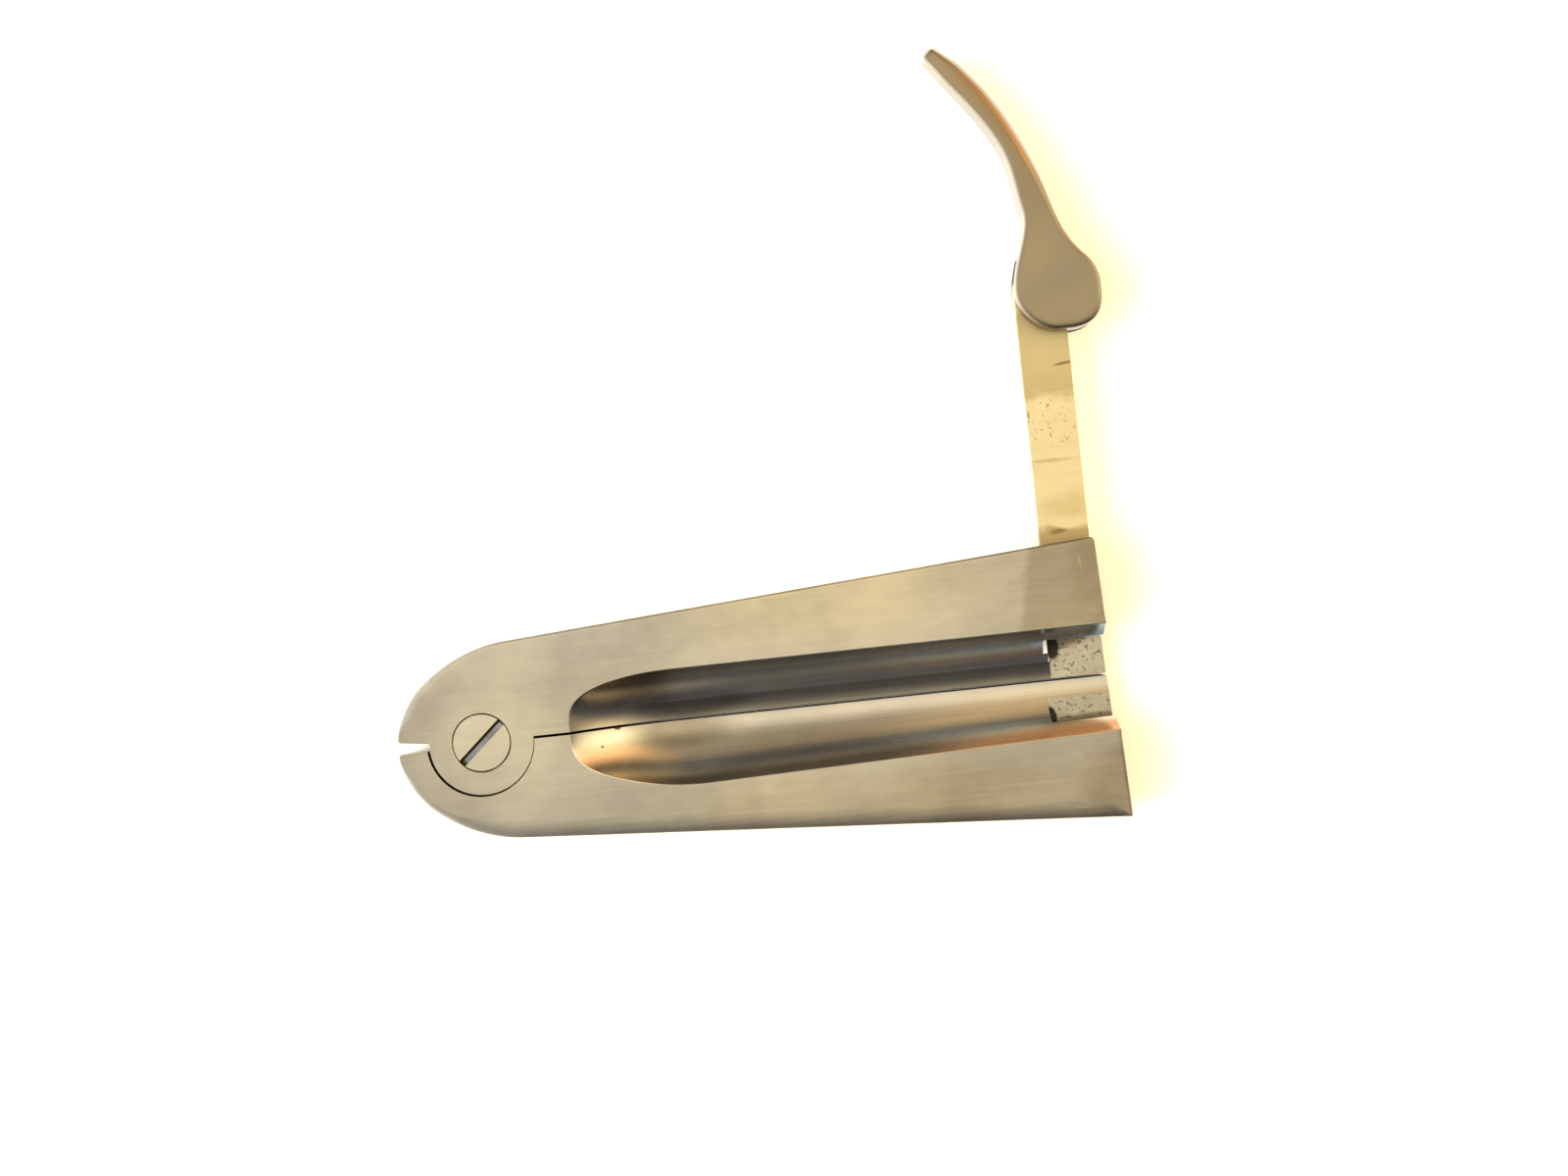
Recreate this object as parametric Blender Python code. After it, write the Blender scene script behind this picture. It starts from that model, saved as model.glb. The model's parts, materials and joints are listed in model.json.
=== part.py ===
"""Hinged plate clamp in satin stainless steel, lying on its back with the grooved side up.

Two tapered jaws turn on a slotted screw in a half-lap joint. A flat strap, pinned in a slot at the open
end of the upper jaw, swings round the open end into the same slot of the lower jaw. A forked cam lever
on the strap's far end then turns against the lower jaw's outer edge.

Frame: metres, origin on the hinge axis at the back face, +X along the parting line towards the open end,
+Y towards the upper jaw, +Z out of the grooved front. The pose is jaws shut, strap and lever swung out.
"""

import math

import bmesh
import bpy

MM = 0.001

# Jaws in plan
JAW_LENGTH = 66.9 * MM            # hinge axis to the open end, along the parting line
THICKNESS = 7.0 * MM
HALF_WIDTH_HINGE = 10.2 * MM      # parting line to the outer edge, level with the hinge axis
HALF_WIDTH_END = 14.9 * MM        # the same at the open end
HEEL_RADIUS = 8.8 * MM            # round heel about the hinge axis
HEEL_BLEND_RADIUS = 16.0 * MM     # from the heel into the straight outer edge
END_LEAN = math.radians(2.0)      # end face off square to the parting line
PARTING_GAP = 0.28 * MM           # between the shut jaws

# Half-lap hinge
LAP_RADIUS = 5.5 * MM
LAP_CLEARANCE = 0.25 * MM         # round the lap discs
LAP_GAP = 0.25 * MM               # between the two lap faces
RECESS_SHIFT = 0.12 * MM          # front recess sits this far towards the heel
SLIT_UPPER = 0.47 * MM            # heel slit, parting line to the upper face
SLIT_LOWER = 0.36 * MM            # heel slit, parting line to the lower face
SLIT_FLARE = math.radians(6.5)    # upper face opens outwards
JAW_OPENING = math.radians(2.5)   # most that the jaws open

# Hinge screw
SCREW_HEAD_RADIUS = 3.0 * MM
SCREW_HEAD_HEIGHT = 1.6 * MM
SCREW_SHANK_RADIUS = 1.9 * MM
SCREW_SLOT_WIDTH = 0.68 * MM
SCREW_SLOT_DEPTH = 0.8 * MM
SCREW_SLOT_TURN = math.radians(41.5)
SCREW_FLOOR = 0.8 * MM            # metal left under the screw's end

# Groove along the front
GROOVE_HALF_WIDTH = 5.6 * MM
GROOVE_SWELL = 1.05 * MM          # lower jaw's groove is this much wider at its widest
SWELL_AT = 23.0 * MM              # hinge axis to that place
LIP_THICKNESS = 2.3 * MM          # metal left at the parting line
GROOVE_START = 9.3 * MM           # hinge axis to the groove's nose
GROOVE_NOSE_LENGTH = 11.7 * MM    # nose to full width

# Strap and its pin
STRAP_WIDTH = 5.3 * MM
STRAP_THICKNESS = 1.2 * MM
STRAP_PIN_INSET = 3.2 * MM        # pin axis in from the open end
STRAP_PIN_HEIGHT = 8.65 * MM      # pin axis from the parting line
PIN_RADIUS = 1.25 * MM
PIN_COVER = 0.9 * MM              # metal left over a pin's blind end
SLOT_CLEARANCE = 0.25 * MM        # above and below the strap
SLOT_END_ROOM = 0.8 * MM          # beside the strap, to the slot's end wall
FIT_CLEARANCE = 0.1 * MM          # round pins and screw
SEAT_GAP = 0.15 * MM              # under heads and blind ends

# Cam lever
LEVER_THICKNESS = 5.5 * MM
CAM_RADIUS = 4.55 * MM
CAM_OFFSET = 1.9 * MM             # cam centre from the lever's pivot
CAM_OFFSET_ANGLE = math.radians(-4.0)
CAM_CLEARANCE = 0.3 * MM          # locked cam to the lower jaw at full opening
FORK_ROOM = 0.8 * MM              # beside the strap's eye, to the fork's root
SPINE_RADIUS = 34.2 * MM          # bend of the handle
SPINE_OFFSET = 1.35 * MM          # spine from the pivot, across the lever
SPINE_RISE = 1.65 * MM            # bend's centre above the pivot
NECK_HEIGHT = 7.6 * MM            # pivot to the neck, along the lever
HANDLE_LENGTH = 22.0 * MM         # neck to tip, along the spine
NECK_WIDTH = 3.2 * MM
WAIST_WIDTH = 2.3 * MM
PAD_WIDTH = 2.85 * MM
TIP_WIDTH = 1.9 * MM
PAD_THICKNESS = 3.6 * MM
TIP_ROUND = 0.7 * MM
CAM_EDGE_RADIUS = 0.35 * MM

# Facets
HEEL_STEPS = 20
BLEND_STEPS = 10
LAP_STEPS = 40
HOLE_STEPS = 32
GROOVE_STEPS = 28
GROOVE_STATIONS = 18
CAM_STATIONS = 12
FLANK_STATIONS = 9
HANDLE_STATIONS = 18
TIP_STATIONS = 4
CORNER_STEPS = 5

# Shapes, as shares, angles and exponents
WAIST_AT = 0.36                   # waist's place along the handle
PAD_AT = 0.78                     # thumb pad's place along the handle
FLANK_ANGLE = math.radians(46.0)  # where the right flank leaves the cam, seen from the cam's centre
LEFT_FLANK_PULL = (1.3, 0.7)      # how far the left flank keeps its heading at each end, in chords
RIGHT_FLANK_PULL = (1.0, 1.0)
ROUNDING_RATE = 2.0               # the handle is round this many times sooner than it is thin
CORNER_SHARE = 0.95               # most of a lever section's half width that its corner takes
NOSE_FULLNESS = 0.3               # exponent of the groove nose's plan
NOSE_DEPTH_FULLNESS = 0.9         # exponent of its depth
NOSE_FIRST = 0.6                  # first groove section's place, in steps from the nose
SECTION_OVERRUN = 0.1             # groove section's arc above the front face, of its depth
CAM_FIRST = 0.25                  # first lever section's place, in half turns shared by the cam's stations
TIP_LAST = 0.5                    # room left past the last tip section, in steps
SMOOTH_ANGLE = math.radians(30.0) # facets that bend less than this shade as one surface
OVERCUT = 1.0 * MM                # how far a cut runs past a face

# Worked-out sizes
MID_LEVEL = THICKNESS / 2.0
TAPER = math.atan2(HALF_WIDTH_END - HALF_WIDTH_HINGE, JAW_LENGTH)
SLOT_HEIGHT = STRAP_THICKNESS + 2.0 * SLOT_CLEARANCE
SLOT_DEPTH = STRAP_PIN_INSET + STRAP_WIDTH / 2.0 + SLOT_END_ROOM
STRAP_PIN = (JAW_LENGTH - STRAP_PIN_INSET, STRAP_PIN_HEIGHT)
LEVER_BACK = MID_LEVEL - LEVER_THICKNESS / 2.0
LEVER_FRONT = MID_LEVEL + LEVER_THICKNESS / 2.0


def strap_reach():
    """Pin to pivot: the locked cam just clears the lower jaw's outer edge at full opening."""
    normal_angle = math.pi / 2.0 - TAPER - JAW_OPENING
    edge_distance = HALF_WIDTH_HINGE * math.cos(TAPER)
    cam_reach = CAM_RADIUS + CAM_OFFSET + CAM_CLEARANCE
    pin_along_normal = STRAP_PIN[0] * math.cos(normal_angle)
    pivot_y = -(edge_distance + cam_reach + pin_along_normal) / math.sin(normal_angle)
    return STRAP_PIN_HEIGHT - pivot_y


STRAP_REACH = strap_reach()


def polar(radius, angle, centre=(0.0, 0.0)):
    """Point at an angle on a circle."""
    return (centre[0] + radius * math.cos(angle), centre[1] + radius * math.sin(angle))


def arc(radius, start, end, steps, centre=(0.0, 0.0)):
    """Points along an arc, both ends included."""
    return [polar(radius, start + (end - start) * i / steps, centre) for i in range(steps + 1)]


def circle(radius, steps, centre=(0.0, 0.0)):
    """Closed circle, without a doubled point."""
    return arc(radius, 0.0, 2.0 * math.pi, steps, centre)[:-1]


def rectangle(low, high):
    """Corners of a rectangle, counter-clockwise."""
    return [low, (high[0], low[1]), high, (low[0], high[1])]


def ease(share):
    """Smooth step from 0 to 1."""
    share = min(max(share, 0.0), 1.0)
    return share * share * (3.0 - 2.0 * share)


def steel(name, colour, roughness):
    """Bare stainless steel of one colour and roughness."""
    material = bpy.data.materials.new(name)
    material.use_nodes = True
    shader = material.node_tree.nodes["Principled BSDF"]
    shader.inputs["Base Color"].default_value = (*colour, 1.0)
    shader.inputs["Metallic"].default_value = 1.0
    shader.inputs["Roughness"].default_value = roughness
    material.diffuse_color = (*colour, 1.0)
    return material


def loft(rings):
    """Closed mesh through rings of equal count, with a flat face over each end."""
    shape = bmesh.new()
    loops = [[shape.verts.new(point) for point in ring] for ring in rings]
    count = len(rings[0])
    for lower, upper in zip(loops, loops[1:]):
        for i in range(count):
            j = (i + 1) % count
            shape.faces.new((lower[i], lower[j], upper[j], upper[i]))
    shape.faces.new(list(reversed(loops[0])))
    shape.faces.new(loops[-1])
    bmesh.ops.recalc_face_normals(shape, faces=shape.faces)
    return shape


def prism(outline, low, high):
    """Straight extrusion of a plan outline between two levels."""
    return loft([[(x, y, low) for x, y in outline], [(x, y, high) for x, y in outline]])


def turned(profile, steps):
    """Turned piece about Z from (radius, level) pairs, bottom to top."""
    return loft([[(x, y, level) for x, y in circle(radius, steps)] for radius, level in profile])


def add_object(name, shape, parent, material=None):
    """New object from a mesh under construction, smooth where its facets bend little."""
    mesh = bpy.data.meshes.new(name)
    shape.to_mesh(mesh)
    shape.free()
    mesh.shade_smooth()
    mesh.set_sharp_from_angle(angle=SMOOTH_ANGLE)
    piece = bpy.data.objects.new(name, mesh)
    bpy.context.scene.collection.objects.link(piece)
    piece.parent = parent
    if material is not None:
        mesh.materials.append(material)
    return piece


def add_cutter(name, shape, parent):
    """Object that only cuts others."""
    cutter = add_object(name, shape, parent)
    cutter.hide_render = True
    cutter.display_type = 'WIRE'
    return cutter


def add_axis(name, location, parent=None):
    """Empty that stands on a joint's axis."""
    axis = bpy.data.objects.new(name, None)
    bpy.context.scene.collection.objects.link(axis)
    axis.parent = parent
    axis.location = location
    return axis


def cut(piece, cutters):
    """Take the cutters out of a piece."""
    for cutter in cutters:
        modifier = piece.modifiers.new(cutter.name, 'BOOLEAN')
        modifier.operation = 'DIFFERENCE'
        modifier.solver = 'EXACT'
        modifier.object = cutter


def end_face_x(y):
    """Open end's place on the line at height y."""
    return JAW_LENGTH - y * math.tan(END_LEAN)


def outer_corner(side):
    """Where the outer edge meets the end face, on the upper (+1) or lower (-1) jaw, as (x, height)."""
    lean = side * math.tan(END_LEAN)
    x = (JAW_LENGTH - HALF_WIDTH_HINGE * lean) / (1.0 + math.tan(TAPER) * lean)
    return (x, HALF_WIDTH_HINGE + x * math.tan(TAPER))


def slit_mouth(offset, flare):
    """Where a slit face that leaves the lap disc meets the round heel."""
    root_x = -math.sqrt(LAP_RADIUS ** 2 - offset ** 2)
    along = (-math.cos(flare), math.sin(flare))
    half = root_x * along[0] + offset * along[1]
    run = -half + math.sqrt(half ** 2 + HEEL_RADIUS ** 2 - LAP_RADIUS ** 2)
    return (root_x + run * along[0], offset + run * along[1])


def heel_edge(start_angle):
    """Outer edge from its straight part round the heel, ending at an angle about the hinge axis."""
    edge_distance = HALF_WIDTH_HINGE * math.cos(TAPER)
    across = edge_distance - HEEL_BLEND_RADIUS
    along = math.sqrt((HEEL_BLEND_RADIUS - HEEL_RADIUS) ** 2 - across ** 2)
    centre = (along * math.cos(TAPER) - across * math.sin(TAPER),
              along * math.sin(TAPER) + across * math.cos(TAPER))
    line_angle = TAPER + math.pi / 2.0
    heel_angle = math.atan2(-centre[1], -centre[0])
    blend = arc(HEEL_BLEND_RADIUS, line_angle, heel_angle, BLEND_STEPS, centre)
    return blend + arc(HEEL_RADIUS, heel_angle, start_angle, HEEL_STEPS)[1:]


def jaw_outline(side, slit_offset, slit_flare):
    """Plan of one jaw with its lap disc, as if it were the upper jaw and then turned to its side."""
    half_gap = PARTING_GAP / 2.0
    mouth = slit_mouth(slit_offset, slit_flare)
    points = [(end_face_x(side * half_gap), half_gap), outer_corner(side)]
    points += heel_edge(math.atan2(mouth[1], mouth[0]))
    lap_start = math.pi - math.asin(slit_offset / LAP_RADIUS)
    lap_end = 2.0 * math.pi + math.asin(half_gap / LAP_RADIUS)
    points += arc(LAP_RADIUS, lap_start, lap_end, LAP_STEPS)
    return [(x, side * y) for x, y in points]


def groove_half_width(x, share, swell):
    """Half the groove's width at the front face: a round nose, a swell, then a taper to the open end."""
    if x < SWELL_AT:
        swell *= ease((x - GROOVE_START) / (SWELL_AT - GROOVE_START))
    else:
        swell *= (JAW_LENGTH - x) / (JAW_LENGTH - SWELL_AT)
    return GROOVE_HALF_WIDTH * share ** NOSE_FULLNESS + swell


def groove_shape(swell):
    """Body of the groove: round-bottomed sections from the nose to past the open end."""
    full_x = GROOVE_START + GROOVE_NOSE_LENGTH
    depth = THICKNESS - LIP_THICKNESS
    past_end = end_face_x(-HALF_WIDTH_END) + OVERCUT
    nose = [math.pi / 2.0 * (1.0 - (i + NOSE_FIRST) / GROOVE_STATIONS) for i in range(GROOVE_STATIONS)]
    stations = [(full_x - GROOVE_NOSE_LENGTH * math.sin(turn), math.cos(turn) ** 2) for turn in nose]
    stations += [(full_x, 1.0), (SWELL_AT, 1.0), (past_end, 1.0)]
    rings = []
    for x, share in stations:
        width = groove_half_width(x, share, swell)
        drop = depth * share ** NOSE_DEPTH_FULLNESS
        radius = (width ** 2 + drop ** 2) / (2.0 * drop)
        centre = THICKNESS - drop + radius
        swing = math.acos(max(-1.0, (centre - THICKNESS - drop * SECTION_OVERRUN) / radius))
        turns = [swing * (2.0 * i / GROOVE_STEPS - 1.0) for i in range(GROOVE_STEPS + 1)]
        ring = [(x, radius * math.sin(turn), centre - radius * math.cos(turn)) for turn in turns]
        top = THICKNESS + OVERCUT
        ring += [(x, ring[-1][1], top), (x, ring[0][1], top)]
        rings.append(ring)
    return loft(rings)


def add_jaws(hinge, materials):
    """Both jaws: outline prisms with the lap, groove, strap slot and holes taken out."""
    lap_face = LAP_GAP / 2.0
    recess = LAP_RADIUS + LAP_CLEARANCE
    back_lap = prism(circle(recess, 2 * LAP_STEPS), -OVERCUT, MID_LEVEL + lap_face)
    front_lap = prism(circle(recess, 2 * LAP_STEPS, (-RECESS_SHIFT, 0.0)),
                      MID_LEVEL - lap_face, THICKNESS + OVERCUT)
    back_lap = add_cutter("back_lap_cut", back_lap, hinge)
    front_lap = add_cutter("front_lap_cut", front_lap, hinge)

    slot_plan = rectangle((JAW_LENGTH - SLOT_DEPTH, -HALF_WIDTH_END - OVERCUT),
                          (JAW_LENGTH + HALF_WIDTH_END, HALF_WIDTH_END + OVERCUT))
    slot = add_cutter("strap_slot_cut",
                      prism(slot_plan, MID_LEVEL - SLOT_HEIGHT / 2.0, MID_LEVEL + SLOT_HEIGHT / 2.0), hinge)

    shank = prism(circle(SCREW_SHANK_RADIUS + FIT_CLEARANCE, HOLE_STEPS), SCREW_FLOOR, THICKNESS + OVERCUT)
    shank = add_cutter("shank_cut", shank, hinge)
    head_level = THICKNESS - SCREW_HEAD_HEIGHT - SEAT_GAP
    head = prism(circle(SCREW_HEAD_RADIUS + FIT_CLEARANCE, 2 * HOLE_STEPS), head_level, THICKNESS + OVERCUT)
    head = add_cutter("screw_head_cut", head, hinge)
    pin = prism(circle(PIN_RADIUS + FIT_CLEARANCE, HOLE_STEPS, STRAP_PIN), -OVERCUT, THICKNESS - PIN_COVER)
    pin = add_cutter("strap_pin_cut", pin, hinge)

    upper_groove = add_cutter("upper_groove_cut", groove_shape(0.0), hinge)
    lower_groove = add_cutter("lower_groove_cut", groove_shape(GROOVE_SWELL), hinge)

    upper_plan = jaw_outline(1.0, SLIT_UPPER, SLIT_FLARE)
    upper = add_object("upper_jaw", prism(upper_plan, 0.0, THICKNESS), hinge, materials["jaw"])
    cut(upper, [back_lap, upper_groove, slot, shank, head, pin])

    lower_plan = jaw_outline(-1.0, SLIT_LOWER, 0.0)
    lower = add_object("lower_jaw", prism(lower_plan, 0.0, THICKNESS), hinge, materials["jaw"])
    cut(lower, [front_lap, lower_groove, slot, shank])


def add_screw(hinge, materials):
    """Slotted hinge screw, its head flush with the front and its end held in the lower jaw's disc."""
    head_level = THICKNESS - SCREW_HEAD_HEIGHT
    profile = [(SCREW_SHANK_RADIUS, SCREW_FLOOR + SEAT_GAP), (SCREW_SHANK_RADIUS, head_level),
               (SCREW_HEAD_RADIUS, head_level), (SCREW_HEAD_RADIUS, THICKNESS)]
    screw = add_object("hinge_screw", turned(profile, HOLE_STEPS), hinge, materials["screw"])
    half = (SCREW_HEAD_RADIUS + OVERCUT, SCREW_SLOT_WIDTH / 2.0)
    slot = prism(rectangle((-half[0], -half[1]), half), THICKNESS - SCREW_SLOT_DEPTH, THICKNESS + OVERCUT)
    slot = add_cutter("screw_slot_cut", slot, hinge)
    slot.rotation_euler.z = SCREW_SLOT_TURN
    cut(screw, [slot])


def add_pin(name, axis, low, high, material):
    """Plain round pin between two levels."""
    return add_object(name, turned([(PIN_RADIUS, low), (PIN_RADIUS, high)], HOLE_STEPS), axis, material)


def add_strap(axis, materials):
    """Flat strap with round ends and an eye at each end; its own origin is the strap pin's axis."""
    half = STRAP_WIDTH / 2.0
    plan = arc(half, math.pi, 2.0 * math.pi, HEEL_STEPS)
    plan += arc(half, 0.0, math.pi, HEEL_STEPS, (0.0, STRAP_REACH))
    low = MID_LEVEL - STRAP_THICKNESS / 2.0
    strap = add_object("strap", prism(plan, low, low + STRAP_THICKNESS), axis, materials["strap"])
    for name, y in (("near_eye_cut", 0.0), ("far_eye_cut", STRAP_REACH)):
        eye = prism(circle(PIN_RADIUS + FIT_CLEARANCE, HOLE_STEPS, (0.0, y)), 0.0, THICKNESS)
        cut(strap, [add_cutter(name, eye, axis)])


def flank(start, start_angle, end, end_angle, pull):
    """Smooth curve between two points that leaves and arrives at given angles, first point left out."""
    chord = math.dist(start, end)
    leave = polar(pull[0] * chord, start_angle)
    arrive = polar(pull[1] * chord, end_angle)
    points = []
    for i in range(1, FLANK_STATIONS + 1):
        t = i / FLANK_STATIONS
        along = ease(t)
        outset = t * (1.0 - t) ** 2
        inset = t ** 2 * (1.0 - t)
        points.append(tuple((1.0 - along) * start[k] + along * end[k] + outset * leave[k] - inset * arrive[k]
                            for k in (0, 1)))
    return points


def handle_half_width(share):
    """Half the handle's width at a share of its length: neck, waist, thumb pad, tip."""
    turns = ((0.0, NECK_WIDTH), (WAIST_AT, WAIST_WIDTH), (PAD_AT, PAD_WIDTH), (1.0, TIP_WIDTH))
    for (start, before), (end, after) in zip(turns, turns[1:]):
        if share <= end:
            return (before + (after - before) * ease((share - start) / (end - start))) / 2.0
    return TIP_WIDTH / 2.0


def lever_rails():
    """Left and right edges of the lever in plan, bottom of the cam to the tip, about the pivot."""
    cam = polar(CAM_OFFSET, CAM_OFFSET_ANGLE)
    bottom = 1.5 * math.pi
    first = math.pi * CAM_FIRST / CAM_STATIONS
    left = arc(CAM_RADIUS, bottom - first, math.pi, CAM_STATIONS, cam)
    right = arc(CAM_RADIUS, bottom + first, 2.0 * math.pi + FLANK_ANGLE, CAM_STATIONS, cam)

    bend = (SPINE_OFFSET - SPINE_RADIUS, SPINE_RISE)
    neck_angle = math.asin((NECK_HEIGHT - SPINE_RISE) / SPINE_RADIUS)
    heading = neck_angle + math.pi / 2.0
    half = NECK_WIDTH / 2.0
    left += flank(left[-1], math.pi / 2.0, polar(SPINE_RADIUS - half, neck_angle, bend),
                  heading, LEFT_FLANK_PULL)
    right += flank(right[-1], FLANK_ANGLE + math.pi / 2.0, polar(SPINE_RADIUS + half, neck_angle, bend),
                   heading, RIGHT_FLANK_PULL)

    straight = HANDLE_LENGTH - TIP_ROUND
    shares = [straight / HANDLE_LENGTH * i / HANDLE_STATIONS for i in range(1, HANDLE_STATIONS + 1)]
    rounding = [math.pi / 2.0 * i / (TIP_STATIONS + TIP_LAST) for i in range(1, TIP_STATIONS + 1)]
    places = [(share, handle_half_width(share)) for share in shares]
    places += [((straight + TIP_ROUND * math.sin(turn)) / HANDLE_LENGTH,
                handle_half_width(1.0) * math.cos(turn)) for turn in rounding]
    for share, half in places:
        angle = neck_angle + share * HANDLE_LENGTH / SPINE_RADIUS
        left.append(polar(SPINE_RADIUS - half, angle, bend))
        right.append(polar(SPINE_RADIUS + half, angle, bend))
    return left, right


def lever_section(left, right, half_thickness, corner):
    """Rounded rectangle that stands between two plan points, centred on the mid level."""
    middle = [(left[k] + right[k]) / 2.0 for k in (0, 1)]
    half = math.dist(left, right) / 2.0
    across = [(right[k] - left[k]) / (2.0 * half) for k in (0, 1)]
    corner = min(corner, CORNER_SHARE * half, CORNER_SHARE * half_thickness)
    ring = []
    for quarter, (sign_x, sign_z) in enumerate(((1, 1), (-1, 1), (-1, -1), (1, -1))):
        centre = (sign_x * (half - corner), sign_z * (half_thickness - corner))
        for step in range(CORNER_STEPS + 1):
            turn = math.pi / 2.0 * (quarter + step / CORNER_STEPS)
            p, z = polar(corner, turn, centre)
            ring.append((middle[0] + p * across[0], middle[1] + p * across[1], MID_LEVEL + z))
    return ring


def add_lever(axis, materials):
    """Forked cam lever, lofted between its two plan edges from a flat cam to a round handle."""
    left, right = lever_rails()
    flank_end = CAM_STATIONS + FLANK_STATIONS
    straight_end = flank_end + HANDLE_STATIONS
    rings = []
    for i, (port, starboard) in enumerate(zip(left, right)):
        share = (i - CAM_STATIONS) / (straight_end - CAM_STATIONS)
        rounding = ease(share * ROUNDING_RATE)
        thinning = ease(share)
        half_thickness = (LEVER_THICKNESS + (PAD_THICKNESS - LEVER_THICKNESS) * thinning) / 2.0
        if i > straight_end:
            turn = math.pi / 2.0 * (i - straight_end) / (TIP_STATIONS + TIP_LAST)
            half_thickness *= math.cos(turn)
        corner = CAM_EDGE_RADIUS + (LEVER_THICKNESS - CAM_EDGE_RADIUS) * rounding
        rings.append(lever_section(port, starboard, half_thickness, corner))
    lever = add_object("lever", loft(rings), axis, materials["lever"])

    reach = CAM_OFFSET + CAM_RADIUS + OVERCUT
    fork_plan = rectangle((-reach, -reach), (reach, STRAP_WIDTH / 2.0 + FORK_ROOM))
    fork = prism(fork_plan, MID_LEVEL - SLOT_HEIGHT / 2.0, MID_LEVEL + SLOT_HEIGHT / 2.0)
    pin = prism(circle(PIN_RADIUS + FIT_CLEARANCE, HOLE_STEPS), -OVERCUT, LEVER_FRONT - PIN_COVER)
    cut(lever, [add_cutter("fork_cut", fork, axis), add_cutter("lever_pin_cut", pin, axis)])


def build():
    """The whole clamp, each moving piece under an empty on its joint's axis."""
    for old in list(bpy.data.objects):
        bpy.data.objects.remove(old)
    materials = {
        "jaw": steel("satin_jaw_steel", (0.56, 0.50, 0.40), 0.34),
        "screw": steel("turned_screw_steel", (0.60, 0.54, 0.43), 0.30),
        "strap": steel("ground_strap_steel", (0.68, 0.58, 0.36), 0.42),
        "lever": steel("polished_lever_steel", (0.50, 0.44, 0.34), 0.28),
        "pin": steel("pin_steel", (0.52, 0.48, 0.42), 0.35),
    }
    hinge = add_axis("hinge_axis", (0.0, 0.0, 0.0))
    strap_axis = add_axis("strap_axis", (STRAP_PIN[0], STRAP_PIN[1], 0.0), hinge)
    lever_axis = add_axis("lever_axis", (0.0, STRAP_REACH, 0.0), strap_axis)
    add_jaws(hinge, materials)
    add_screw(hinge, materials)
    add_strap(strap_axis, materials)
    add_pin("strap_pin", strap_axis, 0.0, THICKNESS - PIN_COVER - SEAT_GAP, materials["pin"])
    add_lever(lever_axis, materials)
    add_pin("lever_pin", lever_axis, LEVER_BACK, LEVER_FRONT - PIN_COVER - SEAT_GAP, materials["pin"])


build()
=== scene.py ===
"""Looks of a hinged plate clamp in satin stainless steel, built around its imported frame.

Every piece is a surface worked out as numpy arrays: walls are plan paths carried up a rounded profile,
grooves and the lever are functions of two parameters on a grid, and flat faces are filled between the
edges that those leave. Sizes are in millimetres and become metres when a mesh is made.

Frame: origin on the hinge axis at the back face, +X along the parting line towards the open end,
+Y towards the upper jaw, +Z out of the grooved front.
"""

from __future__ import annotations

import json
import logging
import math
from collections.abc import Callable, Sequence
from dataclasses import dataclass, field
from enum import Enum
from functools import cache

import bmesh
import bpy
import numpy as np
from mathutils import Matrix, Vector
from mathutils.geometry import delaunay_2d_cdt

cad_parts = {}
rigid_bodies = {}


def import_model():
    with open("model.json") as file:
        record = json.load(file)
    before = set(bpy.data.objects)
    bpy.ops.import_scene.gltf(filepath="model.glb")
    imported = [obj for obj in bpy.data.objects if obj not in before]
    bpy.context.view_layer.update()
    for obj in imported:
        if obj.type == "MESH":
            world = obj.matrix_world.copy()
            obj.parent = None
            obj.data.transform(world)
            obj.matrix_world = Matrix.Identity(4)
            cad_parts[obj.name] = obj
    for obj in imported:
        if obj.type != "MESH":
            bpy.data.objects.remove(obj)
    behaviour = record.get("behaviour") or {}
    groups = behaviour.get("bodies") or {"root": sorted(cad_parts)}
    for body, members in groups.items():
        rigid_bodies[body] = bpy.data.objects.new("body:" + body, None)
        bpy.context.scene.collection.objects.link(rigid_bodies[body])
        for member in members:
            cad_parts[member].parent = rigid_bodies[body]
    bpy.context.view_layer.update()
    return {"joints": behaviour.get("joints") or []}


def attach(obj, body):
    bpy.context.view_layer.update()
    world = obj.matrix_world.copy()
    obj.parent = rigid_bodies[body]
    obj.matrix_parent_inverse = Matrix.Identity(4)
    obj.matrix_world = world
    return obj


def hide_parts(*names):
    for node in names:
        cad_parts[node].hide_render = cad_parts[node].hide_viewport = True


LOG = logging.getLogger("clamp")
MM = 0.001

Array = np.ndarray
Colour = tuple[float, float, float]
Placing = Callable[[Array], Array]
Material = bpy.types.Material
Piece = bpy.types.Object
Socket = bpy.types.NodeSocket

THICKNESS = 7.0          # both jaws
MID_LEVEL = 3.5          # middle of the jaws, the strap and the lever
SLOT_HEIGHT = 1.7        # strap slot in the jaws and fork in the lever
LAP_RADIUS = 5.5         # round lap disc about the hinge axis
PIN_RADIUS = 1.25
PIN_COVER = 0.9          # metal over a pin's blind end
FIT = 0.1                # clearance round pins and screw
HEAD_RADIUS = 3.0        # hinge screw
HEAD_HEIGHT = 1.6
SHANK_RADIUS = 1.9
SCREW_FLOOR = 0.8        # metal under the screw's end
SEAT = 0.15              # room under heads and blind ends
OVERCUT = 1.0            # how far a cut runs past a face
SHARP = math.radians(34.0)
SEW_DISTANCE = 0.0012    # points nearer than this are one

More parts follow.
